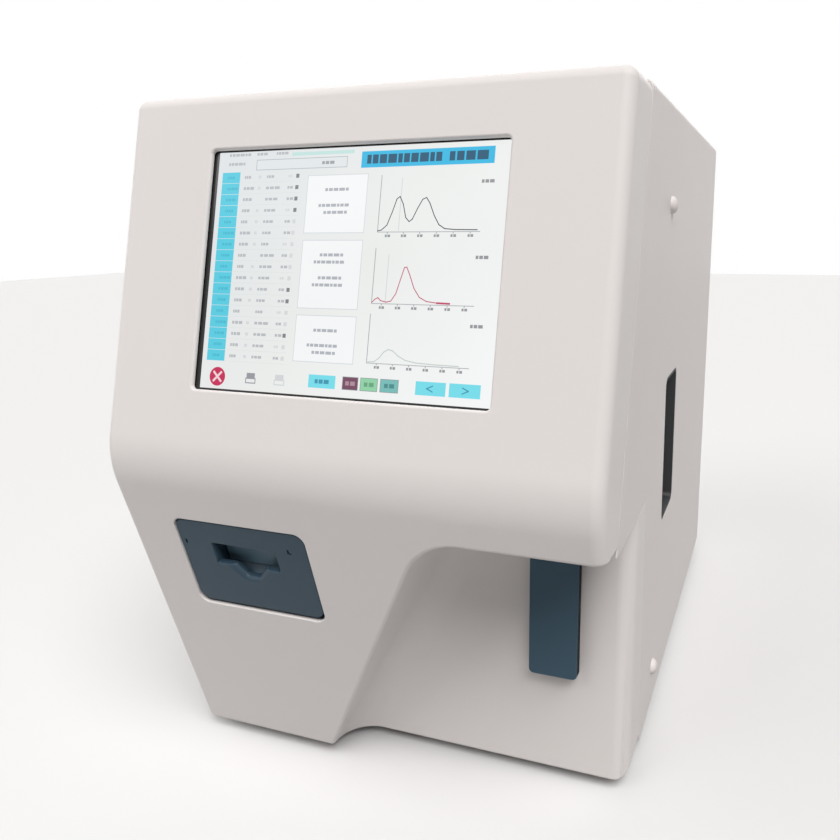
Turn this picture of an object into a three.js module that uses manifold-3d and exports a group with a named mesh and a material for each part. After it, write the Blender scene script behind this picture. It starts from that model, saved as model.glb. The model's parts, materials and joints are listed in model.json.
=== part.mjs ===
// Benchtop blood cell counter with a tilted touch screen, an open sampling bay and a roll printer.
// Lengths are millimetres. X points to the right, Y to the back and Z up, and the rubber feet stand on Z = 0.
import * as THREE from 'three'
import { ParametricGeometry } from 'three/addons/geometries/ParametricGeometry.js'
import { mergeVertices } from 'three/addons/utils/BufferGeometryUtils.js'
import Module from 'manifold-3d'

const wasm = await Module()
wasm.setup()

// Gap between two pieces that rest on each other, and the play round a shaft or a rod.
const seatGap = 0.4
const shaftPlay = 0.35
// How far a cutting shape reaches past the piece that it cuts.
const overrun = 30

// Whole housing.
const housing = { width: 354, height: 486, depth: 480, frontY: -215.3, lift: 10 }

// Moulded front cover: a screen face that leans back, a full chin, and a face below it that runs back under.
const cover = {
  wall: 3, sideRadius: 12, topRadius: 9, chinRadius: 70, footRadius: 5, reach: 130,
  faceTilt: 16.1, lowerTilt: 13.3, footSetback: 11, seamDepth: 48, lowerSeam: 68, shoulder: 204, seamGap: 0.6,
}

// Sampling bay at the lower right, open to the front, the right and the floor.
const bay = {
  wallSetback: 19.6, tilt: 3.5, height: 206.5, footX: -53.7, footDrop: 1.9, cornerX: 60.1,
  cornerRadius: 45, fillet: 24, reach: 130, edgeRadius: 12,
}

// Sheet metal wrap over the sides and the top, with a grip cup and two screws in each side.
const wrap = { sheet: 1.2, bend: 5 }
const grip = {
  setback: 177.5, centreZ: 227.5, width: 61, height: 124, corner: 8, depth: 21, taper: 5, wall: 2,
  play: 0.6, flange: 6, flangeSheet: 1.4,
}
const sideScrew = {
  lowSetback: 122, lowZ: 44, highSetback: 142, topDrop: 72, headRadius: 6.6, headHeight: 4.6,
  shankRadius: 1.8, shankLength: 3.6,
}

// Chassis: floor tray, rear pan, centre wall and the deck that carries the fluid parts.
const tray = { sheet: 1.5, flange: 15, rearGap: 14, sideInset: 2 }
const rearPan = { sheet: 1.5, flange: 12, inset: 1.7 }
const centreWall = { x: -12, sheet: 1.5, startSetback: 72, rearGap: 18, topGap: 56, flange: 22 }
const deck = { level: 228, sheet: 1.5, frontSetback: 8, legSetback: 76, sideGap: 5, notchInset: 27, notchMargin: 9 }
const foot = { radius: 11, topRadius: 12.5, sideInset: 37, frontSetback: 49, rearInset: 40, dimple: 3 }

// Touch display behind the screen opening, measured down the tilted face.
const screen = { width: 212, height: 159, topDistance: 37.6, corner: 3 }
const touchGlass = { width: 228, height: 175, thickness: 1.8 }
const lcd = { width: 232, height: 179, thickness: 9 }
const displayBracket = { width: 252, height: 199, sheet: 1.5, postRadius: 3.5, postInset: 4.5 }

// Roll printer behind the lower face. Its group sits at the middle of the door.
const printer = { sideInset: 97, rise: 173 }
const door = {
  halfWidth: 53, bottom: -35.5, top: 36, corner: 8, sunk: 1, thickness: 5, gap: 0.9, bottomGap: 2.9,
  windowHalf: 27, windowTop: 19, windowFloor: 0, notchHalf: 19, notchDepth: 12, notchFlat: 6,
  pocketHalf: 27.6, pocketTop: 21, pocketDepth: 15.6, kneeRise: -4, lipRise: -13, lipDepth: 8, pocketWall: 1.2,
  earOffset: 30.4, earWidth: 3, earBottom: 13.5, earTop: 34.5, earBack: 17, hingeRise: 3.5, hingeDepth: 4.5,
}
const hingePin = { radius: 1.1, length: 7.5 }
const latch = { halfWidth: 26.5, bottom: -4.4, axisRise: 17.5, axisDepth: 13.5, plate: 2, axleRadius: 1.5 }
const platen = { radius: 4.6, halfLength: 29.8, axisRise: 29.6, axisDepth: 13, shaftRadius: 1.5, shaftReach: 8.6 }
const gear = {
  teeth: 16, pinionTeeth: 12, pitchRadius: 4.8, addendum: 0.55, dedendum: 0.75, width: 4, mesh: 0.2, offset: 0.6,
  tipShare: 0.14, rootShare: 0.3,
}
const printMotor = { radius: 9.5, shaftRadius: 0.9 }
const printHead = { halfWidth: 28, bottom: 23, thickness: 8, finDepth: 6, finCount: 5, finWidth: 2 }
const roll = { radius: 20, coreRadius: 6.5, halfWidth: 28.5, rise: -12, depth: 36 }
const cassette = { wall: 3, depth: 61, bayDepth: 19, cradlePlay: 1.4, cheek: 1.5, cheekPlay: 0.7, topRoom: 1 }

// Start key on the rear wall of the sampling bay, with its switch behind the wall.
const key = {
  sideInset: 36.8, width: 36.4, bottom: 82.8, top: 181, standOff: 3.6, thickness: 8, corner: 3, bevel: 0.8,
  stemInset: 53.4, stemRise: 134.5, stemWidth: 14, stemHeight: 44, stemDepth: 16, stemPlay: 1, travel: 3,
}
const keySwitch = { width: 40, height: 30, thickness: 13, postRadius: 3, postOffset: 15 }

// Sampling needle with its lift.
const needle = { sideInset: 53.5, setback: -6, radius: 1.2, bottom: 207, top: 366, play: 2.6, slot: 0.3 }
const washBlock = { half: 12, height: 13.5, depth: 38.3, bore: 2.6 }
const lift = {
  sideInset: 27, setback: 32, rodOffset: 14, rodRadius: 3, screwRadius: 4, width: 44, plate: 4, backSheet: 3,
  frontReach: 16, backReach: 18, bottom: 230.4, topGap: 66,
}
const carriage = { bottom: 345, height: 20, halfWidth: 20, halfDepth: 11, armHalf: 6, armInset: 4 }
const liftMotor = { half: 20, height: 31, pilotRadius: 11, pilotHeight: 2 }

// Fluid parts on the deck and the pump under it.
const bath = { leftX: 35, rightX: 85, setback: 104, radius: 17, height: 70, wall: 2.5, rim: 2, cone: 8 }
const valves = { left: 20, sideInset: 37, setback: 290, depth: 36, height: 24, count: 5, radius: 9, coilHeight: 32, stem: 4 }
const syringe = {
  x: 40, setback: 212, outer: 10, bore: 8, bottom: 332, top: 396, piston: 7.6, pistonHeight: 8,
  rod: 3, restDrop: 3, crossBottom: 312, crossHeight: 10, crossHalf: 9,
  screwX: 62, screwRadius: 3, screwTop: 325, motorHalf: 16, motorHeight: 27,
  frameLeft: 24, frameRight: 80, frameSheet: 3, frameSetback: 17, frameTop: 402, shelf: 3,
  portRadius: 2.5, portHeight: 6,
}
const pump = { sideInset: 97, width: 62, setback: 110, depth: 70, height: 52, headRadius: 22, headHeight: 16 }

// Electronics.
const board = {
  startSetback: 150, length: 200, bottom: 130, height: 190, thickness: 1.6, standOff: 8, postRadius: 3.5,
  postInset: 9, chipHeight: 4, chipShares: [[0.25, 0.06], [0.55, 0.3], [0.8, 0.64]],
}
const supply = { sideGap: 12, width: 92, rearGap: 28, depth: 140, height: 46, cover: 3 }

// Back of the housing: fan, mains inlet with a rocker switch, data sockets and the fluid ports.
const fan = {
  sideInset: 82, topDrop: 111, half: 40, depth: 20, bore: 38, hub: 15, hubDepth: 13, bladeCount: 7, bladeWidth: 15,
  bladeThickness: 1.6, tipGap: 1.6, bladePitch: 38, strut: 4, strutDepth: 3, plateRadius: 16,
}
const vent = { count: 7, halfLength: 33, halfHeight: 2, pitch: 10 }
const plainVent = { sideInset: 87, topDrop: 111, count: 6, halfLength: 36, halfHeight: 2, pitch: 10 }
const inlet = {
  sideInset: 49, z: 84, half: 15, flangeHalf: 19, halfHeight: 27, flangeHalfHeight: 32, flange: 2.2, depth: 26,
  socketHalf: 12.5, socketBottom: -22, socketTop: -4, socketDepth: 17, pin: 1, pinTall: 2.2, pinPitch: 7,
  pinLength: 13, switchHalf: 10, switchBottom: 2, switchTop: 23, switchDepth: 13,
}
const rocker = { halfWidth: 9.2, halfHeight: 9.4, thickness: 9, rise: 2.2, dish: 1.6, pivotRadius: 1.6, restTilt: 8 }
const sockets = { left: -20, width: 96, z: 84, height: 20, depth: 17, proud: 0.8, wall: 2.4, count: 5, pocket: 11 }
const ports = {
  sideInset: 81, width: 68, z: 84, height: 34, sheet: 3, count: 4, pitch: 16, radius: 3.2, barb: 4.2,
  length: 14, barbLength: 4, barbTip: 2.7, bore: 1.8, stub: 8,
}

// Plain positions worked out from the values above.
const halfWidth = housing.width / 2
const floorZ = housing.lift
const topZ = housing.lift + housing.height
const frontY = housing.frontY
const rearY = frontY + housing.depth
const setBack = (distance) => frontY + distance
const fromRight = (distance) => halfWidth - distance
const fromLeft = (distance) => distance - halfWidth
const footX = fromRight(foot.sideInset)
const screwHighZ = topZ - sideScrew.topDrop
const centreWallEnd = rearY - centreWall.rearGap
const deckRight = fromRight(deck.sideGap)
const keyRight = fromRight(key.sideInset)
const keyLeft = keyRight - key.width
const needleX = fromRight(needle.sideInset)
const liftX = fromRight(lift.sideInset)
const liftTop = topZ - lift.topGap
const fanX = fromLeft(fan.sideInset)
const printerX = fromLeft(printer.sideInset)
const fanZ = topZ - fan.topDrop
const inletX = fromLeft(inlet.sideInset)
const valvesRight = fromRight(valves.sideInset)
const pumpLeft = fromRight(pump.sideInset)
const supplyLeft = fromLeft(supply.sideGap)
const portsLeft = fromRight(ports.sideInset)

// Flat outlines and simple solids.

// Closed outline through the corners, each rounded with its own radius.
function softOutline(corners, radii, steps) {
  const points = []
  corners.forEach((corner, i) => {
    const radius = Array.isArray(radii) ? radii[i] : radii
    const before = corners[(i + corners.length - 1) % corners.length].clone().sub(corner).normalize()
    const after = corners[(i + 1) % corners.length].clone().sub(corner).normalize()
    if (!radius) {
      points.push(corner.clone())
      return
    }
    const half = Math.acos(THREE.MathUtils.clamp(before.dot(after), -1, 1)) / 2
    const centre = corner.clone().addScaledVector(before.clone().add(after).normalize(), radius / Math.sin(half))
    const start = corner.clone().addScaledVector(before, radius / Math.tan(half)).sub(centre)
    const turn = Math.sign(before.cross(after)) * (Math.PI - 2 * half)
    for (let k = 0; k <= steps; k++) {
      points.push(start.clone().rotateAround(new THREE.Vector2(), (-turn * k) / steps).add(centre))
    }
  })
  return points
}

function corner(a, b) {
  return new THREE.Vector2(a, b)
}

function rectangle(left, right, bottom, top) {
  return [corner(left, bottom), corner(right, bottom), corner(right, top), corner(left, top)]
}

// Slab of an outline, from one level to another along its own Z.
function slab(points, from, to) {
  const geometry = new THREE.ExtrudeGeometry(new THREE.Shape(points), { depth: to - from, bevelEnabled: false })
  return geometry.translate(0, 0, from)
}

function box(x, y, z) {
  const geometry = new THREE.BoxGeometry(x[1] - x[0], y[1] - y[0], z[1] - z[0])
  return geometry.translate((x[0] + x[1]) / 2, (y[0] + y[1]) / 2, (z[0] + z[1]) / 2)
}

// Round bar along Z, along X or along Y.
function rodZ(radius, x, y, from, to, sides = 20) {
  const geometry = new THREE.CylinderGeometry(radius, radius, to - from, sides).rotateX(Math.PI / 2)
  return geometry.translate(x, y, (from + to) / 2)
}

function rodX(radius, y, z, from, to, sides = 20) {
  const geometry = new THREE.CylinderGeometry(radius, radius, to - from, sides).rotateZ(-Math.PI / 2)
  return geometry.translate((from + to) / 2, y, z)
}

function rodY(radius, x, z, from, to, sides = 20) {
  return new THREE.CylinderGeometry(radius, radius, to - from, sides).translate(x, (from + to) / 2, z)
}

// Turned piece about Z from a closed half profile of radius and height.
function turned(profile, sides = 24) {
  return new THREE.LatheGeometry(profile.map(([r, h]) => corner(r, h)), sides).rotateX(Math.PI / 2)
}

// Joins and cuts.

function solid(geometry) {
  if (!geometry.isBufferGeometry) return geometry
  const bare = new THREE.BufferGeometry()
  bare.setAttribute('position', geometry.getAttribute('position'))
  bare.setIndex(geometry.index)
  const merged = mergeVertices(bare, 1e-4)
  const corners = merged.index.array
  const faces = []
  for (let i = 0; i < corners.length; i += 3) {
    const [a, b, c] = [corners[i], corners[i + 1], corners[i + 2]]
    if (a !== b && b !== c && c !== a) faces.push(a, b, c)
  }
  const vertProperties = new Float32Array(merged.getAttribute('position').array)
  return new wasm.Manifold(new wasm.Mesh({ numProp: 3, vertProperties, triVerts: new Uint32Array(faces) }))
}

function join(...pieces) {
  return pieces.map(solid).reduce((sum, piece) => sum.add(piece))
}

function cut(piece, ...tools) {
  return tools.map(solid).reduce((rest, tool) => rest.subtract(tool), solid(piece))
}

function common(...pieces) {
  return pieces.map(solid).reduce((rest, piece) => rest.intersect(piece))
}

function geometryOf(piece) {
  if (piece.isBufferGeometry) return piece
  const mesh = piece.getMesh()
  const geometry = new THREE.BufferGeometry()
  geometry.setAttribute('position', new THREE.BufferAttribute(new Float32Array(mesh.vertProperties), mesh.numProp))
  geometry.setIndex(new THREE.BufferAttribute(new Uint32Array(mesh.triVerts), 1))
  geometry.computeVertexNormals()
  return geometry
}

// The same piece on the other side of the middle plane.
function mirrored(geometry) {
  const copy = geometry.clone().scale(-1, 1, 1)
  const corners = copy.index.array
  for (let i = 0; i < corners.length; i += 3) [corners[i + 1], corners[i + 2]] = [corners[i + 2], corners[i + 1]]
  return copy
}

// Groups for the tilted faces. In each, X runs right, Y up the face and Z out of it.

const analyzer = new THREE.Group()

function faceGroup(y, z, tilt, parent = analyzer) {
  const group = new THREE.Group()
  group.position.set(0, y, z)
  group.rotation.x = Math.PI / 2 - THREE.MathUtils.degToRad(tilt)
  parent.add(group)
  group.updateMatrixWorld(true)
  return group
}

const screenFace = faceGroup(frontY, topZ, cover.faceTilt)
const lowerFace = faceGroup(setBack(-cover.footSetback), floorZ, -cover.lowerTilt)
const bayWall = faceGroup(setBack(bay.wallSetback), floorZ, bay.tilt)
const printerUnit = new THREE.Group()
printerUnit.position.set(printerX, printer.rise, 0)
lowerFace.add(printerUnit)
printerUnit.updateMatrixWorld(true)

function inWorld(geometry, group) {
  return geometry.clone().applyMatrix4(group.matrixWorld)
}

const looks = {
  shell: ['#e4dfda', 0.0, 0.45],
  sheet: ['#d3cfcb', 0.3, 0.5],
  zinc: ['#aab0b4', 0.8, 0.4],
  steel: ['#c2c6c9', 1.0, 0.25],
  slate: ['#3e4c5c', 0.0, 0.4],
  black: ['#15171a', 0.0, 0.5],
  rubber: ['#1d1e20', 0.0, 0.85],
  glass: ['#0e1216', 0.0, 0.08],
  clear: ['#dfe8ec', 0.0, 0.1],
  paper: ['#f6f4ef', 0.0, 0.9],
  circuit: ['#1f5a3c', 0.1, 0.5],
  grey: ['#8d9298', 0.0, 0.5],
  brass: ['#b99a55', 0.9, 0.3],
}

function addPart(name, piece, look, parent = analyzer) {
  const [color, metalness, roughness] = looks[look]
  const material = new THREE.MeshStandardMaterial({ color, metalness, roughness })
  const mesh = new THREE.Mesh(geometryOf(piece), material)
  mesh.name = name
  parent.add(mesh)
  return mesh
}

// Side view of the front cover, drawn in Y and Z.

// Straight line up a leaning face, moved inwards by a distance.
function leaningLine(y, z, tilt, inward) {
  const angle = THREE.MathUtils.degToRad(tilt)
  const start = corner(y + inward * Math.cos(angle), z - inward * Math.sin(angle))
  return { start, along: corner(Math.sin(angle), Math.cos(angle)) }
}

function atHeight(line, z) {
  return corner(line.start.x + ((z - line.start.y) * line.along.x) / line.along.y, z)
}

function meeting(first, second) {
  const between = second.start.clone().sub(first.start)
  const share = between.cross(second.along) / first.along.cross(second.along)
  return first.start.clone().addScaledVector(first.along, share)
}

function coverProfile(inset) {
  const faceLine = leaningLine(frontY, topZ, cover.faceTilt, inset)
  const lowerLine = leaningLine(setBack(-cover.footSetback), floorZ, -cover.lowerTilt, inset)
  const back = setBack(cover.reach) + inset
  const corners = [
    corner(back, topZ - inset),
    atHeight(faceLine, topZ - inset),
    meeting(faceLine, lowerLine),
    atHeight(lowerLine, floorZ + inset),
    corner(back, floorZ + inset),
  ]
  const least = cover.wall / 3
  const radii = [0, cover.topRadius - inset, cover.chinRadius - inset, cover.footRadius - inset, 0]
  return softOutline(corners, radii.map((radius, i) => (i % 4 ? Math.max(radius, least) : 0)), 6)
}

// Closed block with the side view of the cover, rounded where its sides meet the face.
function softBlock(inset) {
  const steps = 5
  const radius = cover.sideRadius - inset
  const sections = [{ x: inset - halfWidth, pole: true }]
  for (let k = 0; k <= steps; k++) {
    const angle = (k * Math.PI) / (2 * steps)
    const side = halfWidth - inset - radius * (1 - Math.cos(angle))
    sections.push({ x: -side, profile: coverProfile(inset + radius * (1 - Math.sin(angle))) })
  }
  const otherSide = sections.map((section) => ({ ...section, x: -section.x })).reverse()
  const all = [...sections, ...otherSide]
  const rows = sections[1].profile
  const middle = rows.reduce((sum, point) => sum.add(point), corner(0, 0)).divideScalar(rows.length)
  const place = (u, v, target) => {
    const section = all[Math.round(u * (all.length - 1))]
    const point = section.pole ? middle : section.profile[Math.round((1 - v) * rows.length) % rows.length]
    target.set(section.x, point.x, point.y)
  }
  return new ParametricGeometry(place, all.length - 1, rows.length)
}

// Region in front of the seam (or behind it), as an outline in Y and Z run across the whole width.
function seamRegion(behind) {
  const shift = behind ? cover.seamGap : 0
  const seam = leaningLine(frontY, topZ, cover.faceTilt, cover.seamDepth + shift)
  const shoulderZ = floorZ + cover.shoulder + shift
  const high = topZ + overrun
  const low = floorZ - overrun
  const far = behind ? rearY + overrun : setBack(-cover.reach)
  const lowSeam = setBack(cover.lowerSeam) + shift
  const points = [
    corner(far, high),
    atHeight(seam, high),
    atHeight(seam, shoulderZ),
    corner(lowSeam, shoulderZ),
    corner(lowSeam, low),
    corner(far, low),
  ]
  return acrossWidth(points, -halfWidth - overrun, halfWidth + overrun)
}

// Turns a piece drawn in X and Y, with its depth along Z, so that it is drawn in Y and Z with its depth along X.
function turnedToSide(geometry) {
  const basis = new THREE.Matrix4().makeBasis(
    new THREE.Vector3(0, 1, 0),
    new THREE.Vector3(0, 0, 1),
    new THREE.Vector3(1, 0, 0),
  )
  return geometry.applyMatrix4(basis)
}

// Slab of a Y and Z outline between two X values.
function acrossWidth(points, from, to) {
  return turnedToSide(slab(points, from, to))
}

// Slab of an X and Z outline between two Y values.
function alongDepth(points, from, to) {
  return slab(points, -to, -from).rotateX(Math.PI / 2)
}

// Space of the sampling bay, grown by a wall thickness for the liner round it.
function baySpace(grow) {
  const slope = Math.atan2(bay.cornerX - bay.footX, bay.height + bay.footDrop)
  const sideways = grow / Math.cos(slope)
  const top = bay.height + grow
  const perRise = Math.tan(slope)
  const topX = bay.cornerX - sideways + (top - bay.height) * perRise
  const low = -bay.footDrop - 2 * overrun
  const lowX = topX + (low - top) * perRise
  const right = halfWidth + 2 * overrun
  const corners = [corner(lowX, low), corner(right, low), corner(right, top), corner(topX, top)]
  const radius = bay.fillet + grow
  const outline = softOutline(corners, [0, 0, 0, bay.cornerRadius + grow], 8)
  const geometry = new THREE.ExtrudeGeometry(new THREE.Shape(outline), {
    depth: bay.reach,
    bevelEnabled: true,
    bevelThickness: radius,
    bevelSize: radius,
    bevelOffset: -radius,
    bevelSegments: 5,
  })
  return geometry.translate(0, 0, radius - grow)
}

// What is taken off the upright corner between the bay's rear wall and the right side.
function bayCorner(grow) {
  const low = -overrun
  const centre = bay.edgeRadius
  const outside = box([halfWidth - centre, halfWidth + overrun], [low, bay.height], [-centre, overrun])
  const round = rodY(centre - grow, halfWidth - centre, -centre, low - overrun, bay.height + overrun, 40)
  return cut(outside, round)
}

function bayTool(grow) {
  const place = (piece) => inWorld(geometryOf(piece), bayWall)
  return join(place(baySpace(grow)), place(bayCorner(grow)))
}

function screenOpening() {
  const top = -screen.topDistance
  const outline = softOutline(rectangle(-screen.width / 2, screen.width / 2, top - screen.height, top), screen.corner, 3)
  return inWorld(slab(outline, -overrun, overrun), screenFace)
}

function printerOpening() {
  const half = door.halfWidth + door.gap
  const outline = rectangle(-half, half, door.bottom - door.bottomGap, door.top + door.gap)
  return inWorld(slab(softOutline(outline, door.corner, 3), -overrun / 2, overrun), printerUnit)
}

const stemX = halfWidth - key.stemInset

function stemOpening() {
  const halfAcross = key.stemWidth / 2 + key.stemPlay
  const halfUp = key.stemHeight / 2 + key.stemPlay
  const across = [stemX - halfAcross, stemX + halfAcross]
  return inWorld(box(across, [key.stemRise - halfUp, key.stemRise + halfUp], [-overrun / 2, overrun / 2]), bayWall)
}

function frontCover() {
  const outer = solid(softBlock(0))
  const inner = solid(softBlock(cover.wall))
  const front = solid(seamRegion(false))
  const skin = common(cut(outer, inner), front)
  const liner = common(bayTool(cover.wall), join(common(outer, front), inner))
  const needleHole = rodZ(needle.play, needleX, setBack(needle.setback), floorZ, floorZ + bay.height + overrun)
  return cut(join(skin, liner), bayTool(0), screenOpening(), printerOpening(), needleHole, stemOpening())
}

// Pieces of sheet metal and the small parts fixed to them.

function gripOutline(grow) {
  const halfAcross = grip.width / 2 + grow
  const halfUp = grip.height / 2 + grow
  const middle = setBack(grip.setback)
  const outline = rectangle(middle - halfAcross, middle + halfAcross, grip.centreZ - halfUp, grip.centreZ + halfUp)
  return softOutline(outline, grip.corner + grow, 4)
}

function sideScrewPlaces() {
  const places = []
  for (const side of [-1, 1]) {
    places.push({ side, y: setBack(sideScrew.lowSetback), z: sideScrew.lowZ })
    places.push({ side, y: setBack(sideScrew.highSetback), z: screwHighZ })
  }
  return places
}

function wrapCover() {
  const sheetSection = (inset) => {
    const half = halfWidth - inset
    const corners = rectangle(-half, half, floorZ - (inset ? overrun : 0), topZ - inset)
    return softOutline(corners, [0, 0, wrap.bend - inset, wrap.bend - inset], 4)
  }
  const body = cut(
    alongDepth(sheetSection(0), setBack(-cover.reach), rearY),
    alongDepth(sheetSection(wrap.sheet), setBack(-cover.reach) - overrun, rearY + overrun),
  )
  const slot = acrossWidth(gripOutline(0), -halfWidth - overrun, halfWidth + overrun)
  const holes = sideScrewPlaces().map(({ side, y, z }) => {
    const ends = [side * (halfWidth - overrun / 2), side * (halfWidth + overrun)].sort((a, b) => a - b)
    return rodX(sideScrew.shankRadius + shaftPlay, y, z, ends[0], ends[1], 12)
  })
  return cut(common(body, seamRegion(true)), slot, ...holes)
}

// Tapered cup that fills the slot in one side, with a flange behind the sheet.
function gripCup(side) {
  const face = halfWidth - seatGap / 2
  const cup = (grow, from, to) => {
    const inset = Math.min(grip.taper, to - from)
    const outline = gripOutline(grow)
    const geometry = new THREE.ExtrudeGeometry(new THREE.Shape(outline), {
      depth: overrun,
      bevelEnabled: true,
      bevelThickness: to - from,
      bevelSize: inset,
      bevelOffset: -inset,
      bevelSegments: 1,
    })
    return turnedToSide(geometry).translate(to, 0, 0)
  }
  const depthEnd = face - grip.depth
  const outside = common(cup(-grip.play, depthEnd - grip.wall, face), acrossWidth(gripOutline(overrun), 0, face))
  const flangeFace = halfWidth - wrap.sheet - seatGap
  const flange = acrossWidth(gripOutline(grip.flange), flangeFace - grip.flangeSheet, flangeFace)
  const hollow = cup(-grip.play - grip.wall, depthEnd, face)
  const right = cut(join(outside, flange), hollow)
  return side > 0 ? right : mirrored(geometryOf(right))
}

function screwBody(side) {
  const { headRadius, headHeight, shankRadius, shankLength } = sideScrew
  const steps = 4
  const dome = []
  for (let k = 0; k < steps; k++) {
    const angle = (k * Math.PI) / (2 * steps)
    dome.push([headRadius * Math.cos(angle), headHeight * Math.sin(angle)])
  }
  const profile = [[0, -shankLength], [shankRadius, -shankLength], [shankRadius, 0], ...dome, [0, headHeight], [0, -shankLength]]
  return turned(profile, 14).rotateY((side * Math.PI) / 2)
}

function floorTray() {
  const x = halfWidth - tray.sideInset
  const y = [setBack(cover.lowerSeam) + seatGap, rearY - tray.rearGap]
  const outer = box([-x, x], y, [floorZ, floorZ + tray.flange])
  const inner = box([-x + tray.sheet, x - tray.sheet], [y[0] + tray.sheet, y[1] - tray.sheet], [
    floorZ + tray.sheet,
    floorZ + tray.flange + overrun,
  ])
  return cut(outer, inner)
}

function slots(set, middleX, middleZ) {
  const from = ((set.count - 1) * set.pitch) / 2
  const pieces = []
  for (let k = 0; k < set.count; k++) {
    const z = middleZ - from + k * set.pitch
    const across = [middleX - set.halfLength, middleX + set.halfLength]
    pieces.push(box(across, [rearY - overrun / 2, rearY + overrun], [z - set.halfHeight, z + set.halfHeight]))
  }
  return pieces
}

function rearPlate() {
  const x = halfWidth - rearPan.inset
  const bottom = floorZ + rearPan.inset
  const top = topZ - rearPan.inset
  const { sheet } = rearPan
  const outline = (inset) => {
    const corners = rectangle(-x + inset, x - inset, bottom + inset, top - inset)
    return softOutline(corners, [0, 0, wrap.bend - inset, wrap.bend - inset], 4)
  }
  const outer = alongDepth(outline(0), rearY - rearPan.flange, rearY)
  const inner = alongDepth(outline(sheet), rearY - rearPan.flange - overrun, rearY - sheet)
  const through = (left, right, low, high) => box([left, right], [rearY - overrun / 2, rearY + overrun], [low, high])
  const inletHole = through(
    inletX - inlet.half - seatGap,
    inletX + inlet.half + seatGap,
    inlet.z - inlet.halfHeight - seatGap,
    inlet.z + inlet.halfHeight + seatGap,
  )
  const socketHole = through(
    sockets.left - seatGap,
    sockets.left + sockets.width + seatGap,
    sockets.z - sockets.height / 2 - seatGap,
    sockets.z + sockets.height / 2 + seatGap,
  )
  const portHole = through(
    portsLeft + ports.sheet,
    portsLeft + ports.width - ports.sheet,
    ports.z - ports.radius * 2,
    ports.z + ports.radius * 2,
  )
  const fanSlots = slots(vent, fanX, fanZ)
  const plainSlots = slots(plainVent, fromRight(plainVent.sideInset), topZ - plainVent.topDrop)
  return cut(outer, inner, inletHole, socketHole, portHole, ...fanSlots, ...plainSlots)
}

function middleWall() {
  const y = [setBack(centreWall.startSetback), centreWallEnd]
  const bottom = floorZ + tray.sheet + seatGap
  const upright = box([centreWall.x, centreWall.x + centreWall.sheet], y, [bottom, topZ - centreWall.topGap])
  const flange = box([centreWall.x - centreWall.flange, centreWall.x + centreWall.sheet], [
    y[0] + tray.flange,
    y[1] - tray.flange,
  ], [bottom, bottom + centreWall.sheet])
  return join(upright, flange)
}

function fluidDeck() {
  const left = centreWall.x + centreWall.sheet + seatGap
  const end = centreWallEnd
  const plate = box([left, deckRight], [setBack(deck.frontSetback), end], [deck.level, deck.level + deck.sheet])
  const bottom = floorZ + tray.sheet + seatGap
  const leg = box([deckRight - deck.sheet, deckRight], [setBack(deck.legSetback), end], [bottom, deck.level])
  const halfAcross = grip.width / 2 + deck.notchMargin
  const halfUp = grip.height / 2 + deck.notchMargin
  const middle = setBack(grip.setback)
  const notch = box([fromRight(deck.notchInset), deckRight + overrun], [middle - halfAcross, middle + halfAcross], [
    grip.centreZ - halfUp,
    grip.centreZ + halfUp,
  ])
  return cut(join(plate, leg), notch)
}

function rubberFoot() {
  const top = housing.lift - seatGap
  const inner = foot.radius - foot.dimple
  return turned([
    [0, foot.dimple / 2],
    [inner / 2, foot.dimple / 2],
    [inner, 0],
    [foot.radius, 0],
    [foot.topRadius, top],
    [0, top],
    [0, foot.dimple / 2],
  ], 20)
}

// Display parts, drawn in the group of the screen face.

const displayRise = -screen.topDistance - screen.height / 2

function faceBox(width, height, near, thickness) {
  return box([-width / 2, width / 2], [displayRise - height / 2, displayRise + height / 2], [-near - thickness, -near])
}

const glassNear = cover.wall + seatGap
const lcdNear = glassNear + touchGlass.thickness + seatGap
const bracketNear = lcdNear + lcd.thickness + seatGap

function displayHolder() {
  const plate = faceBox(displayBracket.width, displayBracket.height, bracketNear, displayBracket.sheet)
  const across = displayBracket.width / 2 - displayBracket.postInset
  const up = displayBracket.height / 2 - displayBracket.postInset
  const posts = []
  for (const x of [-across, across]) {
    for (const y of [-up, up]) {
      posts.push(rodZ(displayBracket.postRadius, x, displayRise + y, -bracketNear - displayBracket.sheet, -glassNear, 12))
    }
  }
  return join(plate, ...posts)
}

// Printer parts, drawn in the group of the printer: Z = 0 is the outer skin of the lower face.

// Finger window of the door, with a notch in its lower edge.
function windowOutline() {
  const { windowHalf, windowTop, windowFloor, notchHalf, notchDepth, notchFlat } = door
  const deepest = windowFloor - notchDepth
  const between = (notchHalf + notchFlat) / 2
  const slope = windowFloor - (notchDepth * 2) / 3
  return [
    corner(-windowHalf, windowTop),
    corner(-windowHalf, windowFloor),
    corner(-notchHalf, windowFloor),
    corner(-between, slope),
    corner(-notchFlat, deepest),
    corner(notchFlat, deepest),
    corner(between, slope),
    corner(notchHalf, windowFloor),
    corner(windowHalf, windowFloor),
    corner(windowHalf, windowTop),
  ]
}

const doorBack = door.sunk + door.thickness
const hingeY = door.bottom + door.hingeRise

// Pocket behind the finger window, grown by a wall thickness: a flat back that turns out to the lip of the notch.
function fingerPocket(front, grow) {
  const { pocketHalf, pocketTop, pocketDepth, kneeRise, lipRise, lipDepth } = door
  const points = [
    corner(pocketTop + grow, -front),
    corner(lipRise - grow, -front),
    corner(lipRise - grow, -lipDepth - grow),
    corner(kneeRise, -pocketDepth - grow),
    corner(pocketTop + grow, -pocketDepth - grow),
  ]
  return acrossWidth(points, -pocketHalf - grow, pocketHalf + grow)
}

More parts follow.
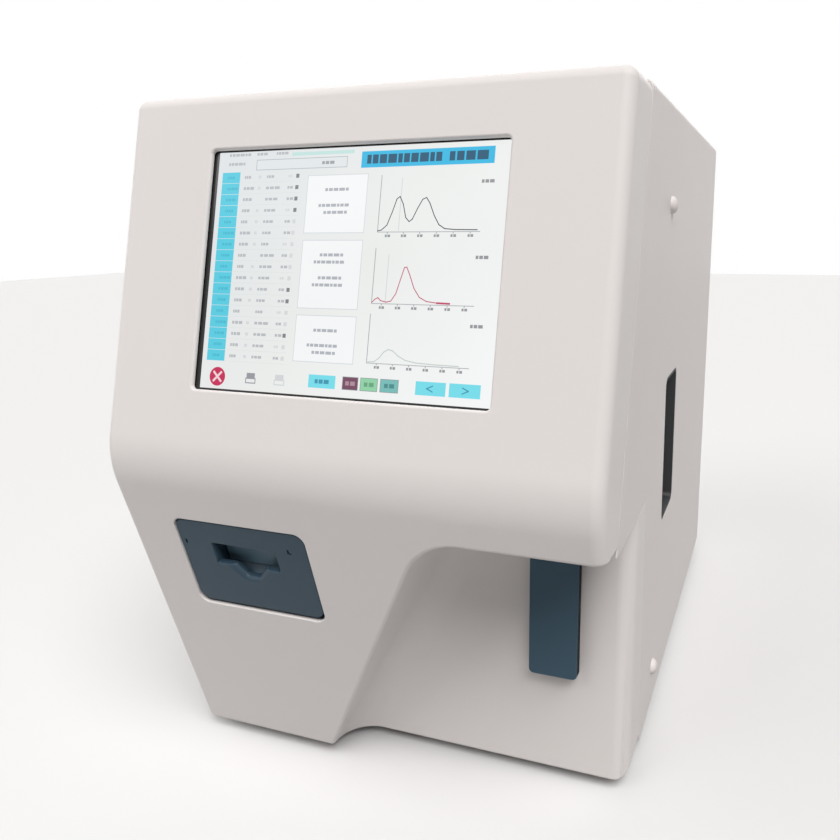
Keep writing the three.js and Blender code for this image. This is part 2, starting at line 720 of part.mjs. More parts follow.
function printerDoor() {
  const plate = slab(
    softOutline(rectangle(-door.halfWidth, door.halfWidth, door.bottom, door.top), door.corner, 4),
    -doorBack,
    -door.sunk,
  )
  const pocket = fingerPocket(doorBack - door.sunk, door.pocketWall)
  const ears = [-1, 1].map((side) => {
    const ends = [side * door.earOffset, side * (door.earOffset + door.earWidth)].sort((a, b) => a - b)
    return box(ends, [door.earBottom, door.earTop], [-door.earBack, -doorBack + door.sunk])
  })
  const end = door.halfWidth + overrun
  const tools = [
    slab(windowOutline(), -doorBack - door.sunk, overrun),
    fingerPocket(doorBack, 0),
    rodX(platen.shaftRadius + shaftPlay, platen.axisRise, -platen.axisDepth, -end, end, 12),
    rodX(latch.axleRadius + shaftPlay, latch.axisRise, -latch.axisDepth, -end, end, 12),
  ]
  for (const side of [-1, 1]) {
    const ends = [side * (door.halfWidth - hingePin.length / 2), side * end].sort((a, b) => a - b)
    tools.push(rodX(hingePin.radius + shaftPlay, hingeY, -door.hingeDepth, ends[0], ends[1], 12))
  }
  return cut(join(plate, pocket, ...ears), ...tools)
}

function doorPin(side) {
  const inner = door.halfWidth - hingePin.length / 2 + seatGap
  const ends = [side * inner, side * (inner + hingePin.length)].sort((a, b) => a - b)
  return rodX(hingePin.radius, hingeY, -door.hingeDepth, ends[0], ends[1], 12)
}

function latchPaddle() {
  const near = latch.axisDepth - latch.plate / 2
  const plate = box([-latch.halfWidth, latch.halfWidth], [latch.bottom, latch.axisRise], [-near - latch.plate, -near])
  const reach = door.earOffset + door.earWidth
  return join(plate, rodX(latch.axleRadius, latch.axisRise, -latch.axisDepth, -reach, reach, 12))
}

// Rubber roller on its shaft, about the local X axis through its own centre.
function platenRoller() {
  const { radius, halfLength, shaftRadius, shaftReach } = platen
  const end = halfLength + shaftReach
  const left = halfLength + door.earWidth + seatGap
  const roller = turned([
    [0, -left],
    [shaftRadius, -left],
    [shaftRadius, -halfLength],
    [radius, -halfLength],
    [radius, halfLength],
    [shaftRadius, halfLength],
    [shaftRadius, end],
    [0, end],
    [0, -left],
  ], 24)
  return roller.rotateY(Math.PI / 2)
}

function toothedWheel(teeth, pitchRadius, bore) {
  const points = []
  const step = (2 * Math.PI) / teeth
  const tip = pitchRadius + gear.addendum
  const root = pitchRadius - gear.dedendum
  const { tipShare, rootShare } = gear
  for (let k = 0; k < teeth; k++) {
    const flanks = [[-rootShare, root], [-tipShare, tip], [tipShare, tip], [rootShare, root]]
    for (const [share, radius] of flanks) {
      const angle = (k + share) * step
      points.push(corner(radius * Math.cos(angle), radius * Math.sin(angle)))
    }
  }
  const shape = new THREE.Shape(points)
  shape.holes.push(new THREE.Path().absarc(0, 0, bore, 0, 2 * Math.PI, true))
  const geometry = new THREE.ExtrudeGeometry(shape, { depth: gear.width, bevelEnabled: false, curveSegments: 6 })
  return geometry.rotateZ(Math.PI / 2).rotateY(Math.PI / 2)
}

const pinionPitch = (gear.pitchRadius * gear.pinionTeeth) / gear.teeth
const gearX = door.earOffset + door.earWidth + gear.offset
const meshDistance = gear.pitchRadius + pinionPitch + gear.mesh
const pinionY = platen.axisRise - meshDistance * Math.SQRT1_2
const pinionZ = -platen.axisDepth - meshDistance * Math.SQRT1_2

function feedMotor() {
  const start = gearX + gear.width + seatGap * 2
  const end = door.halfWidth + door.gap - seatGap
  return rodX(printMotor.radius, pinionY, pinionZ, start, end, 24)
}

function headBar() {
  const near = platen.axisDepth + platen.radius + seatGap
  const top = door.top + door.gap + cassette.topRoom - seatGap
  const x = [-printHead.halfWidth, printHead.halfWidth]
  const body = box(x, [printHead.bottom, top], [-near - printHead.thickness, -near])
  const fins = []
  const pitch = (2 * printHead.halfWidth - printHead.finWidth) / (printHead.finCount - 1)
  for (let k = 0; k < printHead.finCount; k++) {
    const left = -printHead.halfWidth + k * pitch
    const back = near + printHead.thickness + printHead.finDepth
    fins.push(box([left, left + printHead.finWidth], [printHead.bottom, top], [-back, -near - printHead.thickness / 2]))
  }
  return join(body, ...fins)
}

function paperRoll() {
  const { radius, coreRadius, halfWidth: half } = roll
  const ring = turned([[coreRadius, -half], [radius, -half], [radius, half], [coreRadius, half], [coreRadius, -half]], 36)
  return ring.rotateY(Math.PI / 2)
}

function printerCassette() {
  const half = door.halfWidth + door.gap
  const low = door.bottom - door.bottomGap
  const high = door.top + door.gap + cassette.topRoom
  const outer = box([-half - cassette.wall, half + cassette.wall], [low - cassette.wall, high + cassette.wall], [
    -cassette.depth,
    -cover.wall - seatGap,
  ])
  const mouth = box([-half, half], [low, high], [-cassette.bayDepth, overrun])
  const upper = box([-half, half], [roll.rise, high], [-roll.depth, -cassette.bayDepth + cassette.wall])
  const cradle = rodX(roll.radius + cassette.cradlePlay, roll.rise, -roll.depth, -half, half, 36)
  const room = cut(outer, mouth, upper, cradle)
  const cheeks = [-1, 1].map((side) => {
    const inner = roll.halfWidth + cassette.cheekPlay
    const ends = [side * inner, side * (inner + cassette.cheek)].sort((a, b) => a - b)
    const reach = roll.radius + cassette.cradlePlay * 2
    return rodX(reach, roll.rise, -roll.depth, ends[0], ends[1], 36)
  })
  const coreHole = rodX(roll.radius / 2, roll.rise, -roll.depth, -half, half, 24)
  const pinHole = rodX(hingePin.radius + shaftPlay, hingeY, -door.hingeDepth, -half - overrun, half + overrun, 12)
  const headRoom = box([-half, half], [printHead.bottom - 2 * cassette.wall, high], [-cassette.depth, overrun])
  return cut(join(room, ...cheeks.map((cheek) => cut(cheek, coreHole, headRoom))), pinHole)
}

// Start key and its switch, drawn in the group of the bay's rear wall.

function startKey() {
  const outline = rectangle(keyLeft + key.bevel, keyRight - key.bevel, key.bottom + key.bevel, key.top - key.bevel)
  const plate = new THREE.ExtrudeGeometry(new THREE.Shape(softOutline(outline, key.corner, 4)), {
    depth: key.thickness - 2 * key.bevel,
    bevelEnabled: true,
    bevelThickness: key.bevel,
    bevelSize: key.bevel,
    bevelSegments: 2,
  }).translate(0, 0, key.standOff + key.bevel)
  const stem = box(
    [stemX - key.stemWidth / 2, stemX + key.stemWidth / 2],
    [key.stemRise - key.stemHeight / 2, key.stemRise + key.stemHeight / 2],
    [-key.stemDepth, key.standOff + key.thickness / 2],
  )
  return join(plate, stem)
}

function keySwitchBlock() {
  const near = key.stemDepth + key.travel + seatGap
  const across = [stemX - keySwitch.width / 2, stemX + keySwitch.width / 2]
  const up = [key.stemRise - keySwitch.height / 2, key.stemRise + keySwitch.height / 2]
  const block = box(across, up, [-near - keySwitch.thickness, -near])
  const posts = [-1, 1].map((side) => {
    const x = stemX + side * keySwitch.postOffset
    return rodZ(keySwitch.postRadius, x, key.stemRise, -near - keySwitch.thickness / 2, -cover.wall - seatGap, 12)
  })
  return join(block, ...posts)
}

// Needle and lift.

const needleY = setBack(needle.setback)
const liftY = setBack(lift.setback)

function needleTube() {
  return rodZ(needle.radius, needleX, needleY, needle.bottom, needle.top, 12)
}

function washHead() {
  const { half, height, depth, bore } = washBlock
  const top = bay.height - seatGap
  const block = box([needleX - half, needleX + half], [top - height, top], [depth - half, depth + half])
  return cut(inWorld(block, bayWall), rodZ(bore, needleX, needleY, floorZ, topZ, 16))
}

function needleCarriage() {
  const { bottom, height, halfWidth: half, halfDepth, armHalf, armInset } = carriage
  const block = box([liftX - half, liftX + half], [liftY - halfDepth, liftY + halfDepth], [bottom, bottom + height])
  const arm = box([needleX - armHalf, liftX], [needleY - armHalf, liftY], [
    bottom + armInset,
    bottom + height - armInset,
  ])
  const ends = [bottom - overrun, bottom + height + overrun]
  return cut(
    join(block, arm),
    rodZ(needle.radius + needle.slot, needleX, needleY, ends[0], ends[1], 12),
    rodZ(lift.screwRadius + shaftPlay, liftX, liftY, ends[0], ends[1], 16),
    rodZ(lift.rodRadius + shaftPlay, liftX - lift.rodOffset, liftY, ends[0], ends[1], 16),
    rodZ(lift.rodRadius + shaftPlay, liftX + lift.rodOffset, liftY, ends[0], ends[1], 16),
  )
}

function liftFrame() {
  const x = [liftX - lift.width / 2, liftX + lift.width / 2]
  const y = [liftY - lift.frontReach, liftY + lift.backReach]
  const back = box(x, [y[1] - lift.backSheet, y[1]], [lift.bottom, liftTop])
  const plates = [lift.bottom, liftTop - lift.plate].map((z) => box(x, y, [z, z + lift.plate]))
  const ends = [lift.bottom + lift.plate / 2, liftTop + overrun]
  const rodHoles = [-1, 1].map((side) => {
    const across = liftX + side * lift.rodOffset
    return rodZ(lift.rodRadius + shaftPlay, across, liftY, ends[0], ends[1], 16)
  })
  return cut(join(back, ...plates), ...rodHoles, rodZ(lift.screwRadius + shaftPlay, liftX, liftY, ends[0], ends[1], 16))
}

function guideRod(side) {
  const from = lift.bottom + lift.plate / 2 + seatGap
  return rodZ(lift.rodRadius, liftX + side * lift.rodOffset, liftY, from, liftTop - seatGap, 16)
}

function leadScrew() {
  return rodZ(lift.screwRadius, liftX, liftY, lift.bottom + lift.plate / 2 + seatGap, liftTop - seatGap, 16)
}

function liftStepper() {
  const from = liftTop + seatGap
  const x = [liftX - liftMotor.half, liftX + liftMotor.half]
  const body = box(x, [liftY - liftMotor.half, liftY + liftMotor.half], [from, from + liftMotor.height])
  const end = from + liftMotor.height + liftMotor.pilotHeight
  return join(body, rodZ(liftMotor.pilotRadius, liftX, liftY, from + liftMotor.height / 2, end, 20))
}

// Fluid parts.

const deckTop = deck.level + deck.sheet + seatGap

function countingBath(x) {
  const { radius, height, wall, rim, cone } = bath
  const cup = turned([
    [0, 0],
    [radius, 0],
    [radius, height],
    [radius - rim, height],
    [radius - wall, cone + wall * 2],
    [wall, wall],
    [0, wall],
    [0, 0],
  ], 24)
  return cup.translate(x, setBack(bath.setback), deckTop)
}

function valveBlock() {
  const y = [setBack(valves.setback), setBack(valves.setback) + valves.depth]
  const block = box([valves.left, valvesRight], y, [deckTop, deckTop + valves.height])
  const pitch = (valvesRight - valves.left) / valves.count
  const coils = []
  for (let k = 0; k < valves.count; k++) {
    const x = valves.left + (k + 0.5) * pitch
    const middle = (y[0] + y[1]) / 2
    const base = deckTop + valves.height
    coils.push(rodZ(valves.radius, x, middle, base - valves.stem, base + valves.coilHeight, 16))
    coils.push(rodZ(valves.stem, x, middle, base, base + valves.coilHeight + valves.stem, 10))
  }
  return join(block, ...coils)
}

const syringeY = setBack(syringe.setback)

function syringeBarrel() {
  const { outer, bore, bottom, top, portRadius, portHeight, shelf } = syringe
  const barrel = turned([
    [bore, 0],
    [outer, 0],
    [outer, top - bottom],
    [portRadius, top - bottom],
    [portRadius, top - bottom + portHeight],
    [portRadius / 2, top - bottom + portHeight],
    [portRadius / 2, top - bottom - shelf],
    [bore, top - bottom - shelf],
    [bore, 0],
  ], 24)
  return barrel.translate(syringe.x, syringeY, bottom)
}

function syringePlunger() {
  const { x, piston, pistonHeight, rod, restDrop, crossBottom, crossHeight, crossHalf, top, shelf, screwX } = syringe
  const headTop = top - shelf - restDrop
  const head = rodZ(piston, x, syringeY, headTop - pistonHeight, headTop, 20)
  const stem = rodZ(rod, x, syringeY, crossBottom, headTop - pistonHeight / 2, 12)
  const across = [x - crossHalf, screwX + crossHalf]
  const cross = box(across, [syringeY - crossHalf, syringeY + crossHalf], [crossBottom, crossBottom + crossHeight])
  const screwHole = rodZ(syringe.screwRadius + shaftPlay, screwX, syringeY, deckTop, top, 12)
  return cut(join(head, stem, cross), screwHole)
}

function syringeFrame() {
  const { frameLeft, frameRight, frameSheet, frameSetback, frameTop, shelf, bottom, outer, rod, screwX } = syringe
  const back = syringeY + frameSetback
  const plate = box([frameLeft, frameRight], [back, back + frameSheet], [deckTop, frameTop])
  const y = [syringeY - outer - frameSheet, back + frameSheet]
  const shelfTop = bottom - seatGap
  const ledge = box([frameLeft, frameRight], y, [shelfTop - shelf, shelfTop])
  const base = box([frameLeft, frameRight], y, [deckTop, deckTop + frameSheet])
  const rodHole = rodZ(rod + shaftPlay, syringe.x, syringeY, shelfTop - overrun, shelfTop + overrun, 12)
  const screwHole = rodZ(syringe.screwRadius + shaftPlay, screwX, syringeY, shelfTop - overrun, shelfTop + overrun, 12)
  return cut(join(plate, ledge, base), rodHole, screwHole)
}

const syringeMotorTop = deckTop + syringe.frameSheet + seatGap + syringe.motorHeight

function syringeStepper() {
  const { motorHalf: half, screwX } = syringe
  const from = deckTop + syringe.frameSheet + seatGap
  return box([screwX - half, screwX + half], [syringeY - half, syringeY + half], [from, syringeMotorTop])
}

function syringeScrew() {
  return rodZ(syringe.screwRadius, syringe.screwX, syringeY, syringeMotorTop + seatGap, syringe.bottom - seatGap, 12)
}

function wastePump() {
  const from = floorZ + tray.sheet + seatGap
  const y = [setBack(pump.setback), setBack(pump.setback) + pump.depth]
  const x = [pumpLeft, pumpLeft + pump.width]
  const body = box(x, y, [from, from + pump.height])
  const middle = [(x[0] + x[1]) / 2, (y[0] + y[1]) / 2]
  const top = from + pump.height
  return join(body, rodZ(pump.headRadius, middle[0], middle[1], top - pump.headHeight / 2, top + pump.headHeight, 24))
}

// Electronics.

function mainBoard() {
  const { standOff, thickness, postRadius, postInset, chipHeight, chipShares } = board
  const face = centreWall.x - seatGap
  const boardFace = face - standOff
  const y = [setBack(board.startSetback), setBack(board.startSetback) + board.length]
  const z = [board.bottom, board.bottom + board.height]
  const plate = box([boardFace - thickness, boardFace], y, z)
  const posts = []
  for (const up of [z[0] + postInset, z[1] - postInset]) {
    for (const along of [y[0] + postInset, y[1] - postInset]) {
      posts.push(rodX(postRadius, along, up, boardFace - thickness / 2, face, 10))
    }
  }
  const chips = []
  for (const [alongShare, upShare] of chipShares) {
    const start = y[0] + alongShare * board.length
    const low = z[0] + upShare * board.height
    const across = [boardFace - thickness - chipHeight, boardFace - thickness / 2]
    chips.push(box(across, [start - 2 * postInset, start], [low, low + 2 * postInset]))
  }
  return join(plate, ...posts, ...chips)
}

function powerSupply() {
  const from = floorZ + tray.sheet + seatGap
  const x = [supplyLeft, supplyLeft + supply.width]
  const y = [rearY - supply.rearGap - supply.depth, rearY - supply.rearGap]
  const body = box(x, y, [from, from + supply.height])
  const inner = supply.cover
  const lid = box([x[0] + inner, x[1] - inner], [y[0] + inner, y[1] - inner], [
    from + supply.height / 2,
    from + supply.height + inner,
  ])
  return join(body, lid)
}

// Back of the housing.

function fanFrame() {
  const inside = rearY - rearPan.sheet - seatGap
  const y = [inside - fan.depth, inside]
  const x = [fanX - fan.half, fanX + fan.half]
  const z = [fanZ - fan.half, fanZ + fan.half]
  const ring = cut(box(x, y, z), rodY(fan.bore, fanX, fanZ, y[0] - overrun, y[1] + overrun, 36))
  const inset = fan.strut / 4
  const front = [y[0], y[0] + fan.strutDepth]
  const struts = [
    box([x[0] + inset, x[1] - inset], front, [fanZ - fan.strut / 2, fanZ + fan.strut / 2]),
    box([fanX - fan.strut / 2, fanX + fan.strut / 2], front, [z[0] + inset, z[1] - inset]),
    rodY(fan.plateRadius, fanX, fanZ, front[0], front[1], 24),
  ]
  return join(ring, ...struts)
}

function fanRotor() {
  const inside = rearY - rearPan.sheet - seatGap
  const start = inside - fan.depth + fan.strutDepth + seatGap
  const middle = start + fan.hubDepth / 2
  const hub = rodY(fan.hub, 0, 0, start, start + fan.hubDepth, 24)
  const length = fan.bore - fan.tipGap - fan.hub / 2
  const blades = []
  for (let k = 0; k < fan.bladeCount; k++) {
    const blade = new THREE.BoxGeometry(length, fan.bladeWidth, fan.bladeThickness)
    blade.rotateX(THREE.MathUtils.degToRad(fan.bladePitch)).translate(fan.hub / 2 + length / 2, middle, 0)
    blades.push(blade.rotateY((2 * Math.PI * k) / fan.bladeCount))
  }
  return geometryOf(join(hub, ...blades)).translate(fanX, 0, fanZ)
}

function mainsInlet() {
  const { z, half, flangeHalf, halfHeight, flangeHalfHeight, flange, depth } = inlet
  const x = inletX
  const faceY = rearY + seatGap
  const plate = box([x - flangeHalf, x + flangeHalf], [faceY, faceY + flange], [z - flangeHalfHeight, z + flangeHalfHeight])
  const body = box([x - half, x + half], [faceY - depth, faceY + flange / 2], [z - halfHeight, z + halfHeight])
  const out = faceY + overrun
  const socket = box([x - inlet.socketHalf, x + inlet.socketHalf], [faceY + flange - inlet.socketDepth, out], [
    z + inlet.socketBottom,
    z + inlet.socketTop,
  ])
  const switchWell = box([x - inlet.switchHalf, x + inlet.switchHalf], [faceY + flange - inlet.switchDepth, out], [
    z + inlet.switchBottom,
    z + inlet.switchTop,
  ])
  const pinZ = z + (inlet.socketBottom + inlet.socketTop) / 2
  const pins = [-1, 0, 1].map((place) => {
    const across = x + place * inlet.pinPitch
    const lift = pinZ + (place ? 0 : inlet.pinTall)
    const back = faceY + flange - inlet.socketDepth
    return box([across - inlet.pin, across + inlet.pin], [back - flange, back + inlet.pinLength], [
      lift - inlet.pinTall,
      lift + inlet.pinTall,
    ])
  })
  return join(cut(join(plate, body), socket, switchWell), ...pins)
}

const rockerY = rearY + seatGap + inlet.flange - inlet.switchDepth / 2
const rockerZ = inlet.z + (inlet.switchBottom + inlet.switchTop) / 2

// Rocker with a shallow V face that tips about X.
function powerRocker() {
  const { halfWidth: half, halfHeight, thickness, rise, dish, pivotRadius } = rocker
  const out = inlet.switchDepth / 2 + rise
  const points = [
    corner(out - thickness, -halfHeight + dish),
    corner(out, -halfHeight),
    corner(out - dish, 0),
    corner(out, halfHeight),
    corner(out - thickness, halfHeight - dish),
  ]
  const body = acrossWidth(points, -half, half)
  return join(body, rodX(pivotRadius, 0, 0, -half, half, 12))
}

function dataSockets() {
  const x = [sockets.left, sockets.left + sockets.width]
  const z = [sockets.z - sockets.height / 2, sockets.z + sockets.height / 2]
  const body = box(x, [rearY - sockets.depth, rearY + sockets.proud], z)
  const pitch = sockets.width / sockets.count
  const pockets = []
  for (let k = 0; k < sockets.count; k++) {
    const left = x[0] + k * pitch + sockets.wall / 2
    const high = z[1] - sockets.wall - (k % 2 ? sockets.wall * 2 : 0)
    pockets.push(
      box([left, left + pitch - sockets.wall], [rearY - sockets.pocket, rearY + overrun], [z[0] + sockets.wall, high]),
    )
  }
  const lip = box([x[0] - sockets.wall, x[1] + sockets.wall], [
    rearY - sockets.depth,
    rearY - rearPan.sheet - seatGap,
  ], [z[0] - sockets.wall, z[1] + sockets.wall])
  return cut(join(body, lip), ...pockets)
}

function portPlate() {
  const { width, z, height, sheet, count, pitch, radius, barb, length, barbLength, barbTip, bore, stub } = ports
  const faceY = rearY + seatGap
  const left = portsLeft
  const plate = box([left, left + width], [faceY, faceY + sheet], [z - height / 2, z + height / 2])
  const start = left + (width - (count - 1) * pitch) / 2
  const pieces = []
  const holes = []
  for (let k = 0; k < count; k++) {
    const x = start + k * pitch
    pieces.push(rodY(radius, x, z, faceY - stub, faceY + sheet + length, 14))
    const ring = new THREE.CylinderGeometry(barbTip, barb, barbLength, 14)
    pieces.push(ring.translate(x, faceY + sheet + length - barbLength / 2, z))
    holes.push(rodY(bore, x, z, faceY - stub - overrun, faceY + sheet + length + overrun, 10))
  }
  return cut(join(plate, ...pieces), ...holes)
}

// The whole object.

addPart('front_cover', frontCover(), 'shell')
addPart('wrap_cover', wrapCover(), 'sheet')
addPart('rear_panel', rearPlate(), 'sheet')
addPart('base_tray', floorTray(), 'zinc')
addPart('center_wall', middleWall(), 'zinc')
addPart('fluid_deck', fluidDeck(), 'zinc')
addPart('grip_cup_left', gripCup(-1), 'black')
addPart('grip_cup_right', gripCup(1), 'black')

let footNumber = 0
for (const side of [-1, 1]) {
  for (const y of [setBack(foot.frontSetback), rearY - foot.rearInset]) {
    footNumber += 1
    const mesh = addPart(`foot_${footNumber}`, rubberFoot(), 'rubber')
    mesh.position.set(side * footX, y, 0)
  }
}

sideScrewPlaces().forEach(({ side, y, z }, i) => {
  const mesh = addPart(`side_screw_${i + 1}`, screwBody(side), 'sheet')
  mesh.position.set(side * (halfWidth + seatGap), y, z)
})

addPart('touch_glass', faceBox(touchGlass.width, touchGlass.height, glassNear, touchGlass.thickness), 'glass', screenFace)
addPart('lcd_module', faceBox(lcd.width, lcd.height, lcdNear, lcd.thickness), 'grey', screenFace)
addPart('display_bracket', displayHolder(), 'zinc', screenFace)

addPart('printer_cassette', printerCassette(), 'grey', printerUnit)
addPart('printer_door', printerDoor(), 'slate', printerUnit)
addPart('door_pin_left', doorPin(-1), 'steel', printerUnit)
addPart('door_pin_right', doorPin(1), 'steel', printerUnit)
addPart('printer_latch', latchPaddle(), 'slate', printerUnit)
addPart('platen_roller', platenRoller(), 'rubber', printerUnit).position.set(0, platen.axisRise, -platen.axisDepth)

const wheel = addPart('platen_gear', toothedWheel(gear.teeth, gear.pitchRadius, platen.shaftRadius + shaftPlay), 'grey', printerUnit)
wheel.position.set(gearX, platen.axisRise, -platen.axisDepth)
wheel.rotation.x = Math.PI / 4
const pinion = addPart('feed_pinion', toothedWheel(gear.pinionTeeth, pinionPitch, printMotor.shaftRadius), 'brass', printerUnit)
pinion.position.set(gearX, pinionY, pinionZ)
pinion.rotation.x = Math.PI / 4 + Math.PI / gear.pinionTeeth
addPart('feed_motor', feedMotor(), 'steel', printerUnit)
addPart('print_head', headBar(), 'black', printerUnit)
addPart('paper_roll', paperRoll(), 'paper', printerUnit).position.set(0, roll.rise, -roll.depth)

addPart('start_key', startKey(), 'slate', bayWall)
addPart('key_switch', keySwitchBlock(), 'black', bayWall)

addPart('sample_needle', needleTube(), 'steel')
addPart('needle_carriage', needleCarriage(), 'grey')
addPart('wash_block', washHead(), 'clear')
addPart('lift_frame', liftFrame(), 'zinc')
addPart('guide_rod_left', guideRod(-1), 'steel')
addPart('guide_rod_right', guideRod(1), 'steel')
addPart('lead_screw', leadScrew(), 'steel')
addPart('lift_motor', liftStepper(), 'black')

addPart('white_cell_bath', countingBath(bath.leftX), 'clear')
addPart('red_cell_bath', countingBath(bath.rightX), 'clear')
addPart('valve_block', valveBlock(), 'grey')
addPart('syringe_frame', syringeFrame(), 'zinc')
addPart('syringe_barrel', syringeBarrel(), 'clear')
addPart('syringe_plunger', syringePlunger(), 'grey')
addPart('syringe_screw', syringeScrew(), 'steel')
addPart('syringe_motor', syringeStepper(), 'black')
addPart('waste_pump', wastePump(), 'black')
addPart('main_board', mainBoard(), 'circuit')
addPart('power_supply', powerSupply(), 'zinc')

addPart('fan_frame', fanFrame(), 'black')
addPart('fan_rotor', fanRotor(), 'black')
addPart('mains_inlet', mainsInlet(), 'black')
const rockerMesh = addPart('power_rocker', powerRocker(), 'black')
rockerMesh.position.set(inletX, rockerY, rockerZ)
rockerMesh.rotation.x = THREE.MathUtils.degToRad(rocker.restTilt)
addPart('data_sockets', dataSockets(), 'steel')
addPart('port_plate', portPlate(), 'grey')

export default analyzer
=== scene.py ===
"""Benchtop blood cell counter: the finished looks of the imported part, put together in the order a fitter would."""

import json
from math import acos, atan2, copysign, cos, pi, radians, sin, tan

import bmesh
import bpy
from mathutils import Matrix, Vector

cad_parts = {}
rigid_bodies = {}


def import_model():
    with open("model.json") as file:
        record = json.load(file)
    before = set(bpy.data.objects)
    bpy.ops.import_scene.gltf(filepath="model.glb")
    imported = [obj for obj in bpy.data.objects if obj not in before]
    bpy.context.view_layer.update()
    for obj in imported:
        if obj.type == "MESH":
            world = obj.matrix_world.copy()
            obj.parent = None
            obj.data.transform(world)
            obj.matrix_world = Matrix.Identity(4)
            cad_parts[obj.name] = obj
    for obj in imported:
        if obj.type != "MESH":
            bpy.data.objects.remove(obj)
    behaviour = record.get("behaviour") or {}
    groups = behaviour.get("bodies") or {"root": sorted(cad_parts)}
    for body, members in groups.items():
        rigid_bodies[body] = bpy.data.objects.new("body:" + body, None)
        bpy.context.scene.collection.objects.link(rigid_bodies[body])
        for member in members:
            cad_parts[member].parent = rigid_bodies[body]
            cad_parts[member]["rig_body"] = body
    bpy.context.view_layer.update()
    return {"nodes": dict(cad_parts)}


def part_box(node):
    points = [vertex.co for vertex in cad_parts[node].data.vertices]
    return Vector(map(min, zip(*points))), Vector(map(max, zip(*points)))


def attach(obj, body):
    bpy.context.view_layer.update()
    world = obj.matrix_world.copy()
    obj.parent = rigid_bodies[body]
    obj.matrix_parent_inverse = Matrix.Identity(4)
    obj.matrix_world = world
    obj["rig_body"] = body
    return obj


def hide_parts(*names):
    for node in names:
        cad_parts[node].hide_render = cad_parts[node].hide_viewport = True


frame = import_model()
MM = 0.001


# Camera. A short lens held in front of the right half of the unit, level with the screen and looking down and left.
# Its film is shifted so that the unit keeps the place that it has in the photograph.

scene = bpy.context.scene


def having(thing, **settings):
    for name, value in settings.items():
        setattr(thing, name, value)
    return thing


def in_scene(name, data):
    thing = bpy.data.objects.new(name, data)
    scene.collection.objects.link(thing)
    return thing


yaw, pitch, roll = radians(18.31), radians(14.36), radians(-0.43)
ahead = Vector((-sin(yaw) * cos(pitch), cos(yaw) * cos(pitch), -sin(pitch)))
level = Vector((cos(yaw), sin(yaw), 0))
upward = level.cross(ahead)
image_right = cos(roll) * level + sin(roll) * upward
image_up = cos(roll) * upward - sin(roll) * level

camera_data = having(bpy.data.cameras.new("front_view"), sensor_width=36, lens=30.92, shift_x=-0.1435,
                     shift_y=-0.0094, clip_start=0.01)
camera = in_scene("front_view", camera_data)
camera.matrix_world = Matrix((image_right, image_up, -ahead)).transposed().to_4x4()
camera.location = (0.2593, -0.6395, 0.4085)
scene.camera = camera


# Studio. A white table under a white sky, a broad soft lamp above and to the right of the front, a weaker one to its
# left, and low ones at both sides and behind. The table is a diffuse sheet that keeps the unit's shadow.

def fed(tree, node, inputs):
    """Sets or links a node's inputs, each given by its label or its number."""
    for label, value in dict(inputs).items():
        if isinstance(value, bpy.types.NodeSocket):
            tree.links.new(value, node.inputs[label])
        else:
            node.inputs[label].default_value = value
    return node


def added(tree, kind, inputs=(), **settings):
    """New node, a shader node where the kind is given without its family."""
    node = tree.nodes.new(kind if "Node" in kind else "ShaderNode" + kind)
    return fed(tree, having(node, **settings), inputs)


def maths(tree, operation, *terms):
    return added(tree, "Math", enumerate(terms), operation=operation).outputs[0]


def by_ray(tree, output, seen, lit):
    """One shader for the eye, straight, mirrored or through glass, and another for the light on the unit."""
    ray = added(tree, "LightPath").outputs
    not_through = maths(tree, "MAXIMUM", ray["Is Camera Ray"], ray["Is Glossy Ray"])
    for_eye = maths(tree, "MAXIMUM", not_through, ray["Is Transmission Ray"])
    either = added(tree, "MixShader", {"Fac": for_eye, 1: lit.outputs[0], 2: seen.outputs[0]})
    added(tree, output, {"Surface": either.outputs[0]})


def new_paint(name):
    paint = bpy.data.materials.new(name)
    paint.use_nodes = True
    return paint, paint.node_tree


world = bpy.data.worlds.new("studio_sky")
world.use_nodes = True
sky = world.node_tree
sky.nodes.clear()
sky_glow = added(sky, "Background", {"Color": (1, 1, 1, 1)})
sky_light = added(sky, "Background", {"Color": (0.97, 0.98, 1.0, 1), "Strength": 0.04})
by_ray(sky, "OutputWorld", sky_glow, sky_light)
scene.world = world
scene.view_settings.view_transform = "Standard"

for name, energy, spread, toward in (
    ("right_lamp", 2.8, 40, (0.36, -0.4, 0.84)), ("left_lamp", 0.75, 40, (-0.5, -0.5, 0.7)),
    ("side_lamp", 0.14, 60, (0.93, 0.1, 0.3)), ("back_lamp", 1.3, 60, (-0.35, 0.92, 0.14)),
    ("far_lamp", 0.9, 60, (-0.94, 0.25, 0.2)),
):
    lamp = having(bpy.data.lights.new(name, "SUN"), energy=energy, angle=radians(spread), color=(1.0, 0.985, 0.975))
    in_scene(name, lamp).rotation_euler = Vector(toward).to_track_quat("Z", "Y").to_euler()

REACH = 6.0
table_mesh = bpy.data.meshes.new("table")
table_mesh.from_pydata([(-REACH, -REACH, 0), (REACH, -REACH, 0), (REACH, REACH, 0), (-REACH, REACH, 0)], [],
                       [(0, 1, 2, 3)])
table = in_scene("table", table_mesh)
table_paint, tree = new_paint("table_white")
tree.nodes.clear()
table_seen = added(tree, "BsdfDiffuse", {"Color": (0.8, 0.8, 0.8, 1)})
table_lit = added(tree, "BsdfDiffuse", {"Color": (0.44, 0.44, 0.44, 1)})
by_ray(tree, "OutputMaterial", table_seen, table_lit)
table_mesh.materials.append(table_paint)


# Front cover. One moulding in warm white plastic with a fine spark finish: a screen face that leans back, a full chin,
# a lower face that runs back under, and the liner of the sampling bay. It is made as the mould is, by blocks and cores.

